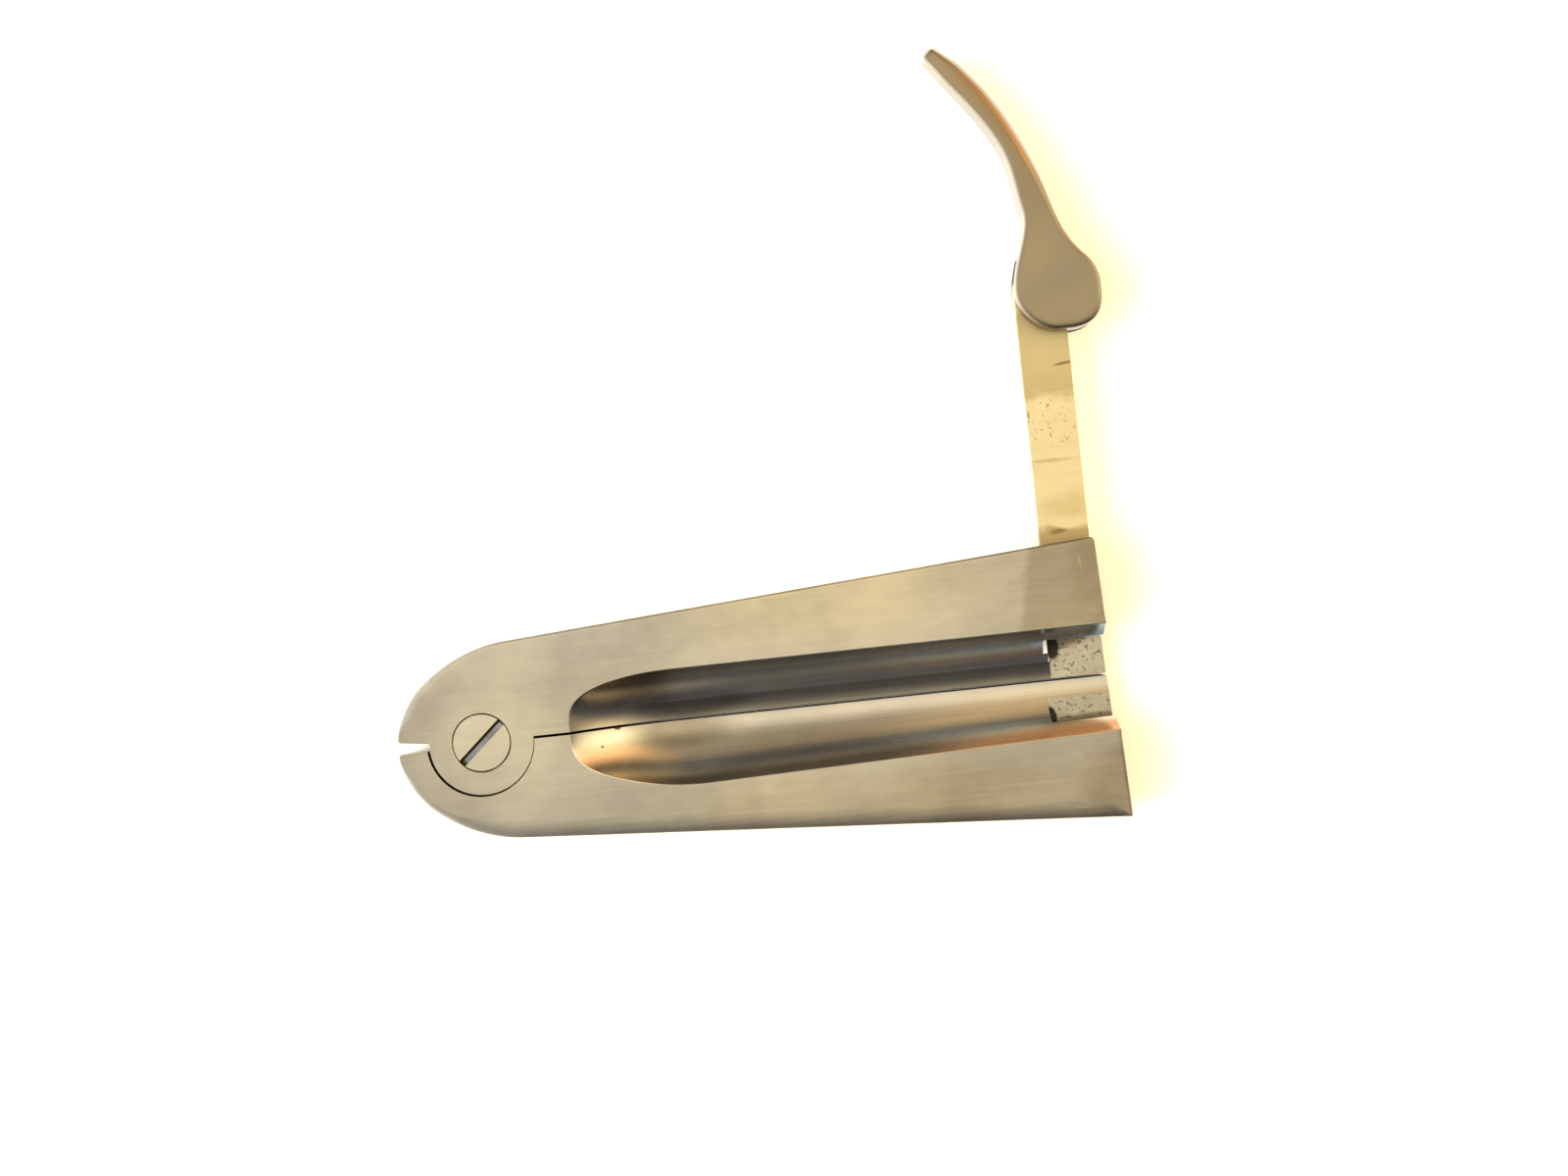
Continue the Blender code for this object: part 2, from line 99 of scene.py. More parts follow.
ROUND_STEPS = 8          # facets of a rounded edge
HEAD_POINTS = 96         # round the screw's head and its seat
BORE_POINTS = 64         # round pins, eyes and the shank
END_POINTS = 24          # along a jaw's end face, and so on round its outline
CORNER_POINTS = 8
EDGE_POINTS = 60
BLEND_POINTS = 40
HEEL_POINTS = 44
MOUTH_POINTS = 7
SLIT_POINTS = 10
LAP_POINTS = 120
NOSE_ROWS = 72           # rows of the groove over its nose, its bed and its open end
BED_ROWS = 60
MOUTH_ROWS = 12
GROOVE_POINTS = 44       # across the groove and over its rim
RIM_POINTS = 6
STRAP_END_POINTS = 40
STRAP_SIDE_POINTS = 30
FLOOR_POINTS = 9

MOUTH_ROOM = 0.06        # angle left on the heel for the slit's rounded mouth
ROLL_EASES = (0.8, 2.2, 8.0, 2.5, 0.4)  # lengths over which the front edge's round changes along the outline
PARTING_FADE = 0.5       # length over which that round runs out at the parting face


class Side(Enum):
    """Which jaw, as the sign of its Y."""

    UPPER = 1.0
    LOWER = -1.0


class Grain(Enum):
    """Direction that a surface was brushed in, as the noise's stretch along X, Y and Z."""

    LENGTHWISE = (90.0, 3800.0, 3800.0)
    CROSSWISE = (260.0, 5200.0, 5200.0)
    DRAWN = (900.0, 900.0, 900.0)


def arc(radius: Array | float, start: float, end: float, count: int,
        centre: Sequence[float] = (0.0, 0.0)) -> Array:
    """Points on a circle at evenly spaced angles, both ends included.

    Args:
        radius: circle's radius, or one for each point.
        start: first angle, in radians.
        end: last angle.
        count: number of points.
        centre: circle's centre.

    Returns:
        Array of count plan points.
    """
    turn = np.linspace(start, end, count)
    return np.column_stack((centre[0] + radius * np.cos(turn), centre[1] + radius * np.sin(turn)))


def ring(radius: float, count: int, centre: Sequence[float] = (0.0, 0.0)) -> Array:
    """Closed circle without a doubled point."""
    return arc(radius, 0.0, 2.0 * math.pi, count + 1, centre)[:-1]


def span(start: Sequence[float], end: Sequence[float], count: int) -> Array:
    """Evenly spaced points on a straight line, both ends included."""
    return np.linspace(np.asarray(start, float), np.asarray(end, float), count)


def ease(share: Array | float) -> Array:
    """Smooth step 3t^2 - 2t^3 from 0 to 1."""
    share = np.clip(share, 0.0, 1.0)
    return share * share * (3.0 - 2.0 * share)


def rounded_corner(before: Array, corner: Array, after: Array, radius: float, count: int) -> Array:
    """Arc that touches both sides of a corner: its centre is on the bisector, radius / sin(half angle) away.

    Args:
        before: a point on the side that comes in.
        corner: the sharp corner.
        after: a point on the side that goes out.
        radius: radius of the arc.
        count: number of points.

    Returns:
        Points of the arc in order.
    """
    back = (before - corner) / np.linalg.norm(before - corner)
    on = (after - corner) / np.linalg.norm(after - corner)
    half = math.acos(float(np.clip(back @ on, -1.0, 1.0))) / 2.0
    bisector = (back + on) / np.linalg.norm(back + on)
    centre = corner + bisector * radius / math.sin(half)
    first = corner + back * radius / math.tan(half) - centre
    last = corner + on * radius / math.tan(half) - centre
    start = math.atan2(first[1], first[0])
    sweep = (math.atan2(last[1], last[0]) - start + math.pi) % (2.0 * math.pi) - math.pi
    return arc(radius, start, start + sweep, count, centre)


def inward_normals(path: Array, closed: bool = False) -> Array:
    """Mitred normals to the left of a path, so that a step along them keeps every side parallel.

    The normal at a corner is the sum of its two sides' unit normals over one plus their product.

    Args:
        path: plan points in order.
        closed: whether the last point joins the first.

    Returns:
        One vector for each point.
    """
    ahead = np.roll(path, -1, axis=0) - path
    ahead /= np.maximum(np.linalg.norm(ahead, axis=1, keepdims=True), 1e-12)
    if not closed:
        ahead[-1] = ahead[-2]
    left = np.column_stack((-ahead[:, 1], ahead[:, 0]))
    behind = np.roll(left, 1, axis=0)
    if not closed:
        behind[0] = left[0]
    product = np.sum(left * behind, axis=1, keepdims=True)
    return (left + behind) / np.maximum(1.0 + product, 0.2)


def run_length(path: Array) -> Array:
    """Distance along a path from its first point to each point."""
    return np.concatenate(([0.0], np.cumsum(np.linalg.norm(np.diff(path, axis=0), axis=1))))


def grid_quads(rows: int, columns: int) -> list[list[int]]:
    """Corner numbers of the quads over a grid of points, row after row."""
    index = np.arange(rows * columns).reshape(rows, columns)
    quads = np.stack((index[:-1, :-1], index[1:, :-1], index[1:, 1:], index[:-1, 1:]), axis=-1)
    return quads.reshape(-1, 4).tolist()


def level(height: float) -> Placing:
    """Placing of plan points on a horizontal plane."""
    return lambda plan: np.column_stack((plan, np.full(len(plan), height)))


def shade(mesh: bpy.types.Mesh) -> None:
    """Splits the shading at sharp edges and keeps flat faces flat."""
    smooth = np.empty(len(mesh.polygons), bool)
    mesh.polygons.foreach_get("use_smooth", smooth)
    mesh.set_sharp_from_angle(angle=SHARP)
    mesh.polygons.foreach_set("use_smooth", smooth)


@dataclass
class Patchwork:
    """Patches of surface, in millimetres, that are sewn into one closed mesh."""

    points: list[Array] = field(default_factory=list)
    faces: list[list[int]] = field(default_factory=list)
    flat: list[bool] = field(default_factory=list)
    coats: list[int] = field(default_factory=list)
    count: int = 0

    def _add(self, points: Array, faces: list[list[int]], flat: bool, coat: int = 0) -> None:
        """Takes in one patch whose faces count from zero."""
        self.faces += [[index + self.count for index in face] for face in faces]
        self.flat += [flat] * len(faces)
        self.coats += [coat] * len(faces)
        self.points.append(points)
        self.count += len(points)

    def add_grid(self, grid: Array, flat: bool = False, coat: int = 0) -> None:
        """Quads over a grid of points.

        Args:
            grid: array of rows, columns and 3.
            flat: whether its faces shade flat.
            coat: which of the piece's finishes it has.
        """
        self._add(grid.reshape(-1, 3), grid_quads(*grid.shape[:2]), flat, coat)

    def add_ring(self, grid: Array, flat: bool = False) -> None:
        """Quads over a grid whose columns close round on themselves."""
        self.add_grid(np.concatenate((grid, grid[:, :1]), axis=1), flat)

    def add_fill(self, loops: Sequence[Array], place: Placing, coat: int = 0) -> None:
        """Flat face inside closed loops: a constrained Delaunay fill, less the triangles outside.

        A triangle is inside if a line from its middle crosses the loops an odd number of times.

        Args:
            loops: closed plan loops, the outer one and its holes.
            place: puts plan points in space.
            coat: which of the piece's finishes it has.
        """
        flat_points = np.concatenate(loops)
        starts = np.cumsum([0] + [len(loop) for loop in loops])
        edges = [(start + i, start + (i + 1) % len(loop))
                 for start, loop in zip(starts, loops) for i in range(len(loop))]
        found = delaunay_2d_cdt([Vector(p) for p in flat_points], edges, [], 0, 1e-5, False)
        plan = np.array([(p.x, p.y) for p in found[0]])
        triangles = np.array(found[2])
        middle = plan[triangles].mean(axis=1)
        first = flat_points[[edge[0] for edge in edges]]
        last = flat_points[[edge[1] for edge in edges]]
        crosses = (first[:, 1] > middle[:, None, 1]) != (last[:, 1] > middle[:, None, 1])
        rise = np.where(last[:, 1] == first[:, 1], 1.0, last[:, 1] - first[:, 1])
        where = first[:, 0] + (middle[:, None, 1] - first[:, 1]) / rise * (last[:, 0] - first[:, 0])
        inside = (np.sum(crosses & (where > middle[:, None, 0]), axis=1) % 2) == 1
        self._add(place(plan), triangles[inside].tolist(), True, coat)

    def add_turned(self, profile: Sequence[tuple[float, float]], count: int,
                   centre: Sequence[float] = (0.0, 0.0)) -> None:
        """Surface of revolution: each (radius, level) of the profile becomes a ring about a vertical axis.

        Bands between two equal levels shade flat.

        Args:
            profile: radii and levels in order; a radius of nought closes the end.
            count: points round each ring.
            centre: plan point of the axis.
        """
        unit = ring(1.0, count)
        rings = [np.column_stack((centre[0] + r * unit[:, 0], centre[1] + r * unit[:, 1], np.full(count, z)))
                 for r, z in profile]
        for inner, outer in zip(rings, rings[1:]):
            self.add_ring(np.stack((inner, outer)), inner[0, 2] == outer[0, 2])

    def make(self, name: str, *finishes: Material, mirror: float = 1.0) -> Piece:
        """Sews the patches, points every face outwards and makes the object.

        Args:
            name: name of the piece.
            *finishes: its materials, in the order of the patches' coats.
            mirror: factor on Y, -1 to turn a shape to the other side.

        Returns:
            The new object, at the origin.
        """
        points = np.concatenate(self.points) * (MM, MM * mirror, MM)
        mesh = bpy.data.meshes.new(name)
        mesh.from_pydata(points.tolist(), [], self.faces)
        mesh.polygons.foreach_set("use_smooth", np.logical_not(self.flat))
        mesh.polygons.foreach_set("material_index", self.coats)
        work = bmesh.new()
        work.from_mesh(mesh)
        bmesh.ops.remove_doubles(work, verts=work.verts, dist=SEW_DISTANCE * MM)
        bmesh.ops.dissolve_degenerate(work, edges=work.edges, dist=1e-8)
        bmesh.ops.recalc_face_normals(work, faces=work.faces)
        loose = sum(1 for edge in work.edges if len(edge.link_faces) != 2)
        if loose:
            LOG.warning("%s: %d open edges", name, loose)
        work.to_mesh(mesh)
        work.free()
        shade(mesh)
        for finish in finishes:
            mesh.materials.append(finish)
        piece = bpy.data.objects.new(name, mesh)
        bpy.context.scene.collection.objects.link(piece)
        return piece


def rounded_wall(path: Array, inset: Array, drop: Array, low: float, high: float, top: bool) -> Array:
    """Wall over a plan path with an elliptical quarter round along one edge.

    A point of the round at turn t stands a(1 - cos t) in from the path and b(1 - sin t) short of the edge.

    Args:
        path: plan points, the metal on their left.
        inset: how far in the round reaches at each point, a.
        drop: how far down it reaches, b.
        low: lowest level.
        high: highest level.
        top: whether the round is along the top edge, or else the bottom one.

    Returns:
        Grid of points from the plain edge to the rounded one.
    """
    turn = np.linspace(0.0, math.pi / 2.0, ROUND_STEPS + 1)[:, None]
    plan = path + inward_normals(path) * (inset * (1.0 - np.cos(turn)))[:, :, None]
    short = drop * (1.0 - np.sin(turn))
    height = high - short if top else low + short
    rounded = np.concatenate((plan, height[:, :, None]), axis=2)
    plain = level(low if top else high)(path)
    return np.concatenate((plain[None], rounded))


def box_patches(low: Sequence[float], high: Sequence[float], turn: float = 0.0) -> Patchwork:
    """Plain box as a carried profile, turned about Z, used to take metal away.

    Args:
        low: lowest corner.
        high: highest corner.
        turn: angle about the origin's vertical, in radians.

    Returns:
        Its closed patches.
    """
    plan = np.array([(low[0], low[1]), (high[0], low[1]), (high[0], high[1]), (low[0], high[1])])
    spin = np.array(((math.cos(turn), math.sin(turn)), (-math.sin(turn), math.cos(turn))))
    plan = plan @ spin
    box = Patchwork()
    box.add_ring(np.stack((level(low[2])(plan), level(high[2])(plan))), True)
    box.add_fill([plan], level(low[2]))
    box.add_fill([plan], level(high[2]))
    return box


def pin_hole(name: str, top: float, centre: Sequence[float], finish: Material) -> Piece:
    """Cutter for a pin's blind hole, a turned cylinder from below the back up to a level.

    Args:
        name: name of the cutter.
        top: level of the hole's blind end.
        centre: plan point of its axis.
        finish: material of its wall.

    Returns:
        The closed cutter.
    """
    radius = PIN_RADIUS + FIT
    hole = Patchwork()
    hole.add_turned(((0.0, -OVERCUT), (radius, -OVERCUT), (radius, top), (0.0, top)), BORE_POINTS, centre)
    return hole.make(name, finish)


def carve(piece: Piece, cutters: Sequence[Piece]) -> None:
    """Takes cutters out of a piece for good, and leaves their finish on the walls that they cut.

    Args:
        piece: the piece to be cut.
        cutters: closed objects, removed afterwards.
    """
    for cutter in cutters:
        step = piece.modifiers.new(cutter.name, "BOOLEAN")
        step.operation = "DIFFERENCE"
        step.solver = "EXACT"
        step.material_mode = "TRANSFER"
        step.object = cutter
    graph = bpy.context.evaluated_depsgraph_get()
    mesh = bpy.data.meshes.new_from_object(piece.evaluated_get(graph))
    mesh.name = piece.name
    piece.modifiers.clear()
    old = piece.data
    piece.data = mesh
    bpy.data.meshes.remove(old)
    for cutter in cutters:
        bpy.data.objects.remove(cutter)
    shade(mesh)


class Wiring:
    """Small helper that lays out a material's or the world's nodes."""

    def __init__(self, tree: bpy.types.NodeTree) -> None:
        """Keeps the tree that nodes are added to."""
        self.tree = tree

    def add(self, kind: str, settings: dict | None = None, **inputs: object) -> bpy.types.Node:
        """Adds a node, sets it up and joins its inputs.

        Args:
            kind: node type.
            settings: attributes of the node.
            **inputs: values or sockets by input name, with _ for a space, or in0, in1 by number.

        Returns:
            The node.
        """
        node = self.tree.nodes.new(kind)
        for key, value in (settings or {}).items():
            setattr(node, key, value)
        for key, value in inputs.items():
            number = key[2:]
            socket = node.inputs[int(number)] if key.startswith("in") and number.isdigit() \
                else node.inputs[key.replace("_", " ")]
            if isinstance(value, Socket):
                self.tree.links.new(value, socket)
            else:
                socket.default_value = value
        return node

    def math(self, operation: str, *values: object) -> Socket:
        """Result of a maths node on values or sockets."""
        inputs = {f"in{i}": value for i, value in enumerate(values)}
        return self.add("ShaderNodeMath", {"operation": operation}, **inputs).outputs[0]

    def step(self, value: object, start: float, end: float) -> Socket:
        """Smooth step of a value from 0 at start to 1 at end."""
        return self.add("ShaderNodeMapRange", {"interpolation_type": "SMOOTHSTEP"}, in0=value, in1=start,
                        in2=end).outputs[0]

    def blend(self, share: object, first: object, second: object, mode: str = "MIX") -> Socket:
        """Colour between two colours by a share, or the first one multiplied by or added to the second."""
        pair = [(*c, 1.0) if isinstance(c, tuple) else c for c in (first, second)]
        settings = {"data_type": "RGBA", "blend_type": mode, "clamp_factor": False}
        return self.add("ShaderNodeMix", settings, in0=share, in6=pair[0], in7=pair[1]).outputs[2]

    def lobe(self, way: Socket, centre: Sequence[float], width: Sequence[float]) -> Socket:
        """Bell curve e^(-d^2 / 2) of the distance d from a centre, measured in widths."""
        local = self.add("ShaderNodeMapping", {"vector_type": "TEXTURE"}, Vector=way, Location=centre,
                         Scale=width)
        square = self.add("ShaderNodeVectorMath", {"operation": "DOT_PRODUCT"}, in0=local.outputs[0],
                          in1=local.outputs[0]).outputs["Value"]
        return self.math("EXPONENT", self.math("MULTIPLY", square, -0.5))

    def noise(self, vector: Socket, scale: Sequence[float], detail: float,
              roughness: float = 0.5, place: Sequence[float] = (0.0, 0.0, 0.0)) -> Socket:
        """Noise value, from 0 to 1, on coordinates stretched by a scale and moved by a place."""
        moved = self.add("ShaderNodeMapping", Vector=vector, Scale=scale, Location=place)
        return self.add("ShaderNodeTexNoise", Vector=moved.outputs[0], Scale=1.0, Detail=detail,
                        Roughness=roughness).outputs[0]


@dataclass(frozen=True)
class StainAndPaintedLight:
    """A patch that tones a finish, for real stains and marks and for painted shade, highlights and
    reflections: its colour is multiplied within a reach of its centre, in millimetres.
    """

    centre: tuple[float, float, float]
    reach: tuple[float, float, float]
    factor: Colour
    soft: float = 0.3
    wobble: float = 0.3
    turn: float = 0.0
    square: bool = False

    def share(self, wires: Wiring, place: Socket, noise: Socket) -> Socket:
        """How much of the patch there is at a place.

        Args:
            wires: where nodes go.
            place: Object coordinates.
            noise: noise that makes its edge uneven.

        Returns:
            1 inside the patch, 0 outside it.
        """
        local = wires.add("ShaderNodeMapping", {"vector_type": "TEXTURE"}, Vector=place,
                          Location=[value * MM for value in self.centre], Rotation=(0.0, 0.0, self.turn),
                          Scale=[value * MM for value in self.reach]).outputs[0]
        if self.square:
            size = wires.add("ShaderNodeVectorMath", {"operation": "ABSOLUTE"}, in0=local).outputs[0]
            axes = wires.add("ShaderNodeSeparateXYZ", Vector=size).outputs
            away = wires.math("MAXIMUM", axes[0], axes[1])
        else:
            away = wires.add("ShaderNodeVectorMath", {"operation": "LENGTH"}, in0=local).outputs["Value"]
        uneven = wires.math("MULTIPLY_ADD", noise, self.wobble, away)
        middle = 1.0 + self.wobble / 2.0
        return wires.step(uneven, middle + self.soft, middle - self.soft)


def stains_and_painted_light_at(height: float, depth: float, *rows: tuple) -> tuple[StainAndPaintedLight, ...]:
    """Stains, marks, painted shade and painted highlights at one level.

    Args:
        height: z of their centres.
        depth: their reach along z, unless a row's reach has one of its own.
        *rows: a plan centre, a reach, and the rest of a patch in order.

    Returns:
        The patches, in the order of the rows.
    """
    return tuple(StainAndPaintedLight((*centre, height), (*reach, depth)[:3], *rest) for centre, reach, *rest in rows)


CLOUD_STEP = (0.3, 0.7)                 # noise values over which cloudy wear turns from deep to pale
MOTTLE_SCALE = (420.0, 700.0, 700.0)
GRAIN_GAIN = 4.0                        # how far brushing and mottle shift the tone, in grain shares
MOTTLE_GAIN = 3.0
PAINTED_REFLECTION_METAL = 0.5                       # share of its metal that the painted copper reflection keeps
PIT_TONE = 0.45                         # colour of a pit, as a share of the deep tone
PIT_FADE = (0.3, 0.5)                   # where a band of pits fades out, in band widths from its middle
BUMP_DISTANCE = 0.0001                  # metres


@dataclass(frozen=True)
class SteelFinish:
    """One finish of bare stainless steel: two tones, brushing in one direction, cloudy wear, pits, stains and
    painted shade and highlights.

    The painted reflection is a copper reflection of warm light painted into the colour, which takes its own
    colour and is less metallic.
    """

    name: str
    pale: Colour
    deep: Colour
    roughness: float
    grain: Grain
    cloud_scale: float = 75.0
    grain_share: float = 0.16
    grain_bump: float = 0.05
    pitting: float = 0.0
    pit_scale: float = 1500.0
    pit_range: tuple[float, float] = (0.30, 0.42)
    pit_band: tuple[float, float] | None = None
    stains: tuple[StainAndPaintedLight, ...] = ()
    painted_reflection: StainAndPaintedLight | None = None
    metallic: float = 1.0
    rough_share: float = 0.12

    def material(self) -> Material:
        """Builds the finish.

        Returns:
            A material on Object coordinates.
        """
        made = bpy.data.materials.new(self.name)
        made.use_nodes = True
        wires = Wiring(made.node_tree)
        shader = made.node_tree.nodes["Principled BSDF"]
        shader.inputs["Metallic"].default_value = self.metallic
        place = wires.add("ShaderNodeTexCoord").outputs["Object"]
        grain = wires.noise(place, self.grain.value, detail=3.0, roughness=0.6)
        cloud = wires.noise(place, (self.cloud_scale,) * 3, detail=3.0, roughness=0.55)
        mottle = wires.noise(place, MOTTLE_SCALE, detail=3.0, roughness=0.6)
        tone = wires.step(cloud, *CLOUD_STEP)
        for noise, gain in ((grain, GRAIN_GAIN), (mottle, MOTTLE_GAIN)):
            shift = wires.math("SUBTRACT", noise, 0.5)
            tone = wires.math("MULTIPLY_ADD", shift, self.grain_share * gain, tone)
        colour = wires.blend(tone, self.deep, self.pale)
        height = grain
        rough = wires.math("MULTIPLY_ADD", grain, self.rough_share, self.roughness - self.rough_share / 2.0)
        if self.pitting:
            pits = wires.noise(place, (self.pit_scale,) * 3, detail=2.0)
            pit = wires.step(pits, *self.pit_range)
            if self.pit_band:
                low, high = (value * MM for value in self.pit_band)
                across = wires.add("ShaderNodeSeparateXYZ", Vector=place).outputs[1]
                away = wires.math("ABSOLUTE", wires.math("SUBTRACT", across, (low + high) / 2.0))
                fade = [share * (high - low) for share in PIT_FADE]
                pit = wires.math("MAXIMUM", pit, wires.step(away, *fade))
            colour = wires.blend(pit, tuple(PIT_TONE * c for c in self.deep), colour)
            height = wires.math("MULTIPLY_ADD", pit, self.pitting, grain)
        # Stains and painted shade, highlights and reflections, each multiplying the colour.
        for tone_patch in self.stains:
            colour = wires.blend(tone_patch.share(wires, place, mottle), colour, tone_patch.factor, "MULTIPLY")
        # The painted copper reflection takes over the colour and lowers the metal.
        if self.painted_reflection:
            share = self.painted_reflection.share(wires, place, mottle)
            colour = wires.blend(share, colour, self.painted_reflection.factor)
            metal = wires.math("MULTIPLY_ADD", share, (PAINTED_REFLECTION_METAL - 1.0) * self.metallic, self.metallic)
            wires.tree.links.new(metal, shader.inputs["Metallic"])
        bump = wires.add("ShaderNodeBump", Strength=self.grain_bump, Distance=BUMP_DISTANCE, Height=height)
        wires.tree.links.new(colour, shader.inputs["Base Color"])
        wires.tree.links.new(rough, shader.inputs["Roughness"])
        wires.tree.links.new(bump.outputs[0], shader.inputs["Normal"])
        return made


# On the jaws' faces: darker end patches and corners, thin bright scratches, mild tone clouds and brighter
# round the hinge; painted shade along the lower jaw's rolled bottom edge and along both end edges.
JAW_STAINS_AND_PAINTED_LIGHT = stains_and_painted_light_at(
    7.0, 20.0,
    ((65.3, 10.5), (6.6, 7.5), (0.77, 0.73, 0.65), 0.10, 0.16, -0.2, True),
    ((67.9, 11.0), (4.0, 8.0), (0.85, 0.83, 0.77), 0.5, 0.6),
    ((66.8, -13.0), (4.5, 6.0), (0.82, 0.78, 0.72), 0.5, 0.8),
    # painted shade: darker towards the lower jaw's rolled bottom edge
    ((46.0, -12.0), (30.0, 5.0), (0.88, 0.86, 0.83), 0.5, 0.3),
    ((2.0, 0.0), (24.0, 17.0), (0.91, 0.92, 0.94), 0.5, 0.3),
    ((3.0, -0.5), (7.5, 6.0), (1.22, 1.22, 1.16), 0.6, 0.4),
    # painted shade: dark rims along the end edges of both jaws
    ((66.8, 9.0), (0.3, 9.0), (0.60, 0.56, 0.48), 0.6, 0.5, math.radians(2.0)),
    ((67.25, -10.0), (0.3, 7.0), (0.62, 0.60, 0.50), 0.6, 0.5, math.radians(2.0)),
    # thin bright scratches
    ((64.6, 12.3), (0.05, 0.7, 9.0), (1.5, 1.5, 1.5), 0.5, 0.4, 0.15),
    ((65.6, 7.1), (0.5, 0.04, 9.0), (1.6, 1.6, 1.6), 0.5, 0.4, -0.35),
    ((62.3, -13.4), (0.9, 0.04, 9.0), (1.6, 1.55, 1.5), 0.5, 0.4, -0.15),
    ((38.0, 11.0), (15.0, 4.0), (1.06, 1.03, 0.92), 0.6),
    ((14.0, 11.0), (9.0, 3.0), (0.95, 0.97, 1.0), 0.6),
    ((16.0, -9.0), (9.0, 4.0), (0.90, 0.90, 0.89), 0.6),
    ((30.0, -9.0), (7.0, 2.5), (1.10, 1.06, 0.98), 0.6),
    ((50.0, -11.0), (8.0, 3.0), (1.03, 0.99, 0.90), 0.6),
)
# In the grooves, mostly painted light: painted reflection of the dim room and of bright light on the upper
# groove's wall, painted shade at its open end, at the noses, along the bottom by the parting line and along
# the lower rim, and painted highlights at the lower nose and the lower open end. The last two rows are small
# nicks.
GROOVE_PAINTED_LIGHT_AND_NICKS = stains_and_painted_light_at(
    5.0, 20.0,
    ((40.0, 3.8), (45.0, 0.8), (0.64, 0.74, 0.95), 0.5, 0.1, 0.0, True),
    ((38.0, 6.4), (20.0, 2.0), (1.20, 1.36, 1.70), 0.2, 0.1, 0.0, True),
    ((60.0, 4.6), (14.0, 2.4), (0.66, 0.80, 0.98), 0.4, 0.1),
    ((67.5, 5.4), (2.6, 1.5), (0.50, 0.53, 0.56), 0.4, 0.1),
    ((40.0, 0.95), (23.0, 1.05), (0.60, 0.58, 0.54), 0.15, 0.1, 0.0, True),
    ((22.0, 1.6), (6.0, 1.4), (0.62, 0.62, 0.62), 0.4, 0.1),
    ((21.0, -1.3), (5.0, 1.6), (0.62, 0.59, 0.52), 0.5, 0.2),
    # painted highlights on the lower groove
    ((14.5, -4.6), (5.5, 2.0), (1.75, 1.55, 1.25), 0.4, 0.3),
    ((60.0, -3.5), (15.0, 2.2), (1.70, 1.58, 1.36), 0.5, 0.2),
    ((14.0, 4.4), (6.5, 2.4), (0.34, 0.31, 0.32), 0.5, 0.2),
    ((36.5, -6.6), (16.5, 2.4), (0.55, 0.53, 0.52), 0.3, 0.2),
    # small dark nicks
    ((12.4, -1.9), (0.16, 0.13, 9.0), (0.25, 0.22, 0.18)),
    ((14.1, -0.2), (0.35, 0.14, 9.0), (0.2, 0.18, 0.14)),
)
# Painted reflection: a copper band of warm light on the lower groove's rim at the open end, mixed into the
# colour.
RIM_PAINTED_REFLECTION = StainAndPaintedLight((71.0, -6.3, 5.0), (24.0, 1.7, 20.0), (0.63, 0.33, 0.14), 0.28, 0.15)
# Painted shade in the strap slots: black pockets at their inner ends and darker bands under their ceilings.
SLOT_PAINTED_SHADE = stains_and_painted_light_at(
    3.0, 9.0,
    ((61.35, 3.4), (0.75, 1.25), (0.07, 0.07, 0.06), 0.25, 0.3),
    ((63.0, 4.4), (2.9, 0.95), (0.36, 0.35, 0.31), 0.5, 0.3, 0.22),
    ((60.6, -3.7), (0.42, 0.95), (0.08, 0.08, 0.07), 0.3, 0.3, 0.3),
    ((64.5, -4.5), (4.0, 0.55), (0.45, 0.42, 0.36), 0.5, 0.5),
)
# Painted shade in the screw's slot: a dark strip along its upper-left side and darker ends.
SCREW_SLOT_PAINTED_SHADE = stains_and_painted_light_at(
    6.5, 9.0,
    ((-0.20, 0.23), (4.0, 0.15), (0.10, 0.09, 0.07), 0.4, 0.3, math.radians(41.5), True),
    ((-2.2, -1.95), (0.3, 0.8), (0.25, 0.23, 0.20), 0.6, 0.3, math.radians(41.5)),
    ((2.2, 1.95), (0.15, 0.8), (0.20, 0.18, 0.15), 0.5, 0.3, math.radians(41.5)),
)
# On the strap: painted shade at both ends, next to the jaw and the lever, then small marks and scratches.
STRAP_PAINTED_SHADE_AND_MARKS = stains_and_painted_light_at(
    4.0, 9.0,
    ((63.7, 34.8), (9.0, 4.6), (0.72, 0.67, 0.58), 0.16, 0.35, 0.0, True),
    ((63.7, 12.0), (9.0, 4.2), (0.60, 0.54, 0.45), 0.10, 0.5, 0.0, True),
    ((64.5, 18.5), (3.0, 1.2), (0.88, 0.84, 0.76), 0.6, 0.8),
    ((63.0, 23.4), (2.2, 0.20), (0.80, 0.73, 0.62), 0.7, 0.9),
    ((65.6, 33.6), (1.1, 0.12), (0.35, 0.30, 0.24), 0.5, 0.5, 0.12),
    ((63.2, 15.8), (0.8, 0.25), (0.60, 0.52, 0.42), 0.6, 0.8, 0.1),
    ((61.25, 28.4), (0.12, 0.4), (0.62, 0.54, 0.44), 0.6, 1.6),
)
# On the lever: painted warm reflection as a golden band along the handle, then mild tone patches on the cam.
LEVER_PAINTED_REFLECTION_AND_TONE = stains_and_painted_light_at(
    6.0, 9.0,
    ((62.85, 56.75), (3.1, 0.65), (1.14, 0.94, 0.80), 0.7, 0.1, math.radians(115.0)),
    ((60.70, 60.70), (2.4, 0.70), (1.12, 0.95, 0.82), 0.7, 0.1, math.radians(122.6)),
    ((58.40, 63.80), (2.5, 0.65), (1.12, 0.95, 0.82), 0.7, 0.1, math.radians(131.0)),
    ((66.0, 42.5), (4.5, 1.6), (0.93, 0.95, 0.98), 0.6, 0.8, math.radians(20.0)),
    ((63.6, 45.5), (1.6, 3.0), (1.05, 1.02, 0.98), 0.6, 0.6),
)


